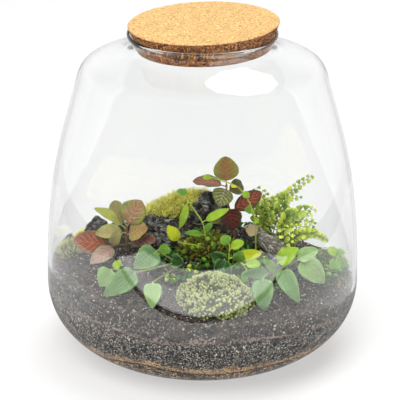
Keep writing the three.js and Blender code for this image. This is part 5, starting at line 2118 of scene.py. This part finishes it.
def build_stage():
    """The camera, a white floor, a soft sky and what the glass reflects."""
    values = settings().stage
    scene = bpy.context.scene
    scene.view_settings.view_transform = "Standard"
    target = Vector((0, 0, 0.14))
    tilt = values.elevation
    back = Vector((0, -math.cos(tilt), math.sin(tilt)))
    data = bpy.data.cameras.new("photo_camera")
    data.sensor_width = 36
    data.lens = values.lens
    data.shift_x, data.shift_y = (pixels / PHOTO_SIDE for pixels in PHOTO_SHIFT)
    data.clip_end = 50
    camera = placed("photo_camera", data)
    camera.location = target + back * values.distance
    camera.rotation_euler = (-back).to_track_quat("-Z", "Y").to_euler()
    scene.camera = camera

    finish, graph, shader = new_finish("white_floor", 0.9)
    graph.dress(shader, (0.42, 0.42, 0.42, 1))
    glow = {"Emission Color": (1, 0.995, 0.99, 1), "Emission Strength": 0.5, "Specular IOR Level": 0.1}
    graph.give(shader.inputs, glow)
    mesh = bpy.data.meshes.new("floor")
    mesh.from_pydata([(-8, -8, 0), (8, -8, 0), (8, 12, 0), (-8, 12, 0)], [], [(0, 1, 2, 3)])
    mesh.materials.append(finish)
    placed("floor", mesh)

    lamp("key_lamp", (-0.6, -1.0, 2.3), (0, 0, 0.08), 1.8, values.key)
    lamp("top_lamp", (0.5, 0.6, 2.4), (0, 0, 0.1), 1.6, values.key * 0.7)

    for name, front, back, glow in (("far", -0.61, -0.42, 2.1), ("middle", -0.42, -0.31, 3.0)):
        corners = [(-0.5, front, 0.002), (0.5, front, 0.002), (0.5, back, 0.002), (-0.5, back, 0.002)]
        card(f"reflected_{name}_table", corners, glow)
    reflected_table()
    reflected_room()
    softbox = (
        (1, -65), (8, -59), (23, -54), (41, -44), (55, -40), (61, -50), (56, -72), (35, -82), (12, -75)
    )
    box = card("reflected_softbox", [(x * MM, y * MM, 0.2505) for x, y in softbox], 4.0)
    box.visible_transmission = False

    world = bpy.data.worlds.new("studio")
    scene.world = world
    graph = empty_graph(world)
    rays = graph.node("ShaderNodeLightPath").outputs
    sky = graph.first("ShaderNodeBackground", {"Color": (1, 1, 1, 1), "Strength": values.fill})
    seen = graph.first("ShaderNodeBackground", {"Color": (0.3, 0.3, 0.3, 1), "Strength": 1.0})
    mirrored = graph.math("MAXIMUM", rays["Is Glossy Ray"], rays["Is Transmission Ray"])
    graph.show(graph.either(mirrored, sky, seen), "World")


# The add-on


class TerrariumSettings(bpy.types.PropertyGroup):
    """Everything that can be changed."""

    glass: bpy.props.PointerProperty(type=TerrariumGlass, name="Glass", description="The jar")
    cork: bpy.props.PointerProperty(type=TerrariumCork, name="Cork", description="The cork lid")
    ground: bpy.props.PointerProperty(
        type=TerrariumGround, name="Ground", description="Soil, charcoal and grit"
    )
    stones: bpy.props.PointerProperty(type=TerrariumStones, name="Stones", description="Stones and wood")
    moss: bpy.props.PointerProperty(type=TerrariumMoss, name="Moss", description="Moss cushions")
    leaves: bpy.props.PointerProperty(
        type=TerrariumLeaves, name="Leaves", description="Leaves of all the plants"
    )
    stage: bpy.props.PointerProperty(type=TerrariumStage, name="Stage", description="Camera, lamps and floor")


class TERRARIUM_OT_stage(bpy.types.Operator):
    """Set the camera, the lamps and the floor"""

    bl_idname = "terrarium.stage"
    bl_label = "Stage"

    def execute(self, context):
        build_stage()
        return {"FINISHED"}


class TERRARIUM_OT_jar(bpy.types.Operator):
    """Build the glass jar"""

    bl_idname = "terrarium.jar"
    bl_label = "Jar"

    def execute(self, context):
        build_jar()
        return {"FINISHED"}


class TERRARIUM_OT_cork(bpy.types.Operator):
    """Build the cork lid"""

    bl_idname = "terrarium.cork"
    bl_label = "Cork"

    def execute(self, context):
        build_cork()
        return {"FINISHED"}


class TERRARIUM_OT_ground(bpy.types.Operator):
    """Build the grit, the charcoal and the soil"""

    bl_idname = "terrarium.ground"
    bl_label = "Ground"

    def execute(self, context):
        build_ground()
        return {"FINISHED"}


class TERRARIUM_OT_stones(bpy.types.Operator):
    """Build the stones"""

    bl_idname = "terrarium.stones"
    bl_label = "Stones"

    def execute(self, context):
        build_stones()
        return {"FINISHED"}


class TERRARIUM_OT_wood(bpy.types.Operator):
    """Build the stub of wood"""

    bl_idname = "terrarium.wood"
    bl_label = "Wood"

    def execute(self, context):
        build_wood()
        return {"FINISHED"}


class TERRARIUM_OT_moss(bpy.types.Operator):
    """Build the moss cushions"""

    bl_idname = "terrarium.moss"
    bl_label = "Moss"

    def execute(self, context):
        build_moss()
        return {"FINISHED"}


class TERRARIUM_OT_net_plants(bpy.types.Operator):
    """Build the two net-leaved plants"""

    bl_idname = "terrarium.net_plants"
    bl_label = "Net-leaved plants"

    def execute(self, context):
        build_net_plants()
        return {"FINISHED"}


class TERRARIUM_OT_creepers(bpy.types.Operator):
    """Build the four creepers"""

    bl_idname = "terrarium.creepers"
    bl_label = "Creepers"

    def execute(self, context):
        build_creepers()
        return {"FINISHED"}


class TERRARIUM_OT_ivies(bpy.types.Operator):
    """Build the two ivies"""

    bl_idname = "terrarium.ivies"
    bl_label = "Ivies"

    def execute(self, context):
        build_ivies()
        return {"FINISHED"}


class TERRARIUM_OT_fern(bpy.types.Operator):
    """Build the fern's fronds"""

    bl_idname = "terrarium.fern"
    bl_label = "Fern"

    def execute(self, context):
        build_fern()
        return {"FINISHED"}


OPERATORS = [
    TERRARIUM_OT_stage, TERRARIUM_OT_jar, TERRARIUM_OT_cork, TERRARIUM_OT_ground, TERRARIUM_OT_stones,
    TERRARIUM_OT_wood, TERRARIUM_OT_moss, TERRARIUM_OT_net_plants, TERRARIUM_OT_creepers, TERRARIUM_OT_ivies,
    TERRARIUM_OT_fern,
]


class TERRARIUM_PT_panel(bpy.types.Panel):
    """The terrarium's values and its operators."""

    bl_label = "Glass plant terrarium"
    bl_idname = "TERRARIUM_PT_panel"
    bl_space_type = "VIEW_3D"
    bl_region_type = "UI"
    bl_category = "Terrarium"

    def draw(self, context):
        values = context.scene.terrarium
        for name in ("glass", "cork", "ground", "stones", "moss", "leaves", "stage"):
            group = getattr(values, name)
            box = self.layout.box()
            box.label(text=name.capitalize())
            for key in group.__annotations__:
                box.prop(group, key)
        for each in OPERATORS:
            self.layout.operator(each.bl_idname)


CLASSES = [
    TerrariumGlass, TerrariumCork, TerrariumGround, TerrariumStones, TerrariumMoss, TerrariumLeaves,
    TerrariumStage, TerrariumSettings, *OPERATORS, TERRARIUM_PT_panel,
]


def register():
    """Registers the classes and the scene's settings."""
    for each in CLASSES:
        bpy.utils.register_class(each)
    bpy.types.Scene.terrarium = bpy.props.PointerProperty(type=TerrariumSettings)


def unregister():
    """Takes the settings and the classes away again."""
    del bpy.types.Scene.terrarium
    for each in reversed(CLASSES):
        bpy.utils.unregister_class(each)


def main():
    """Builds everything in order."""
    register()
    for each in OPERATORS:
        getattr(bpy.ops.terrarium, each.bl_idname.split(".")[1])()
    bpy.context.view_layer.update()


if __name__ == "__main__":
    main()
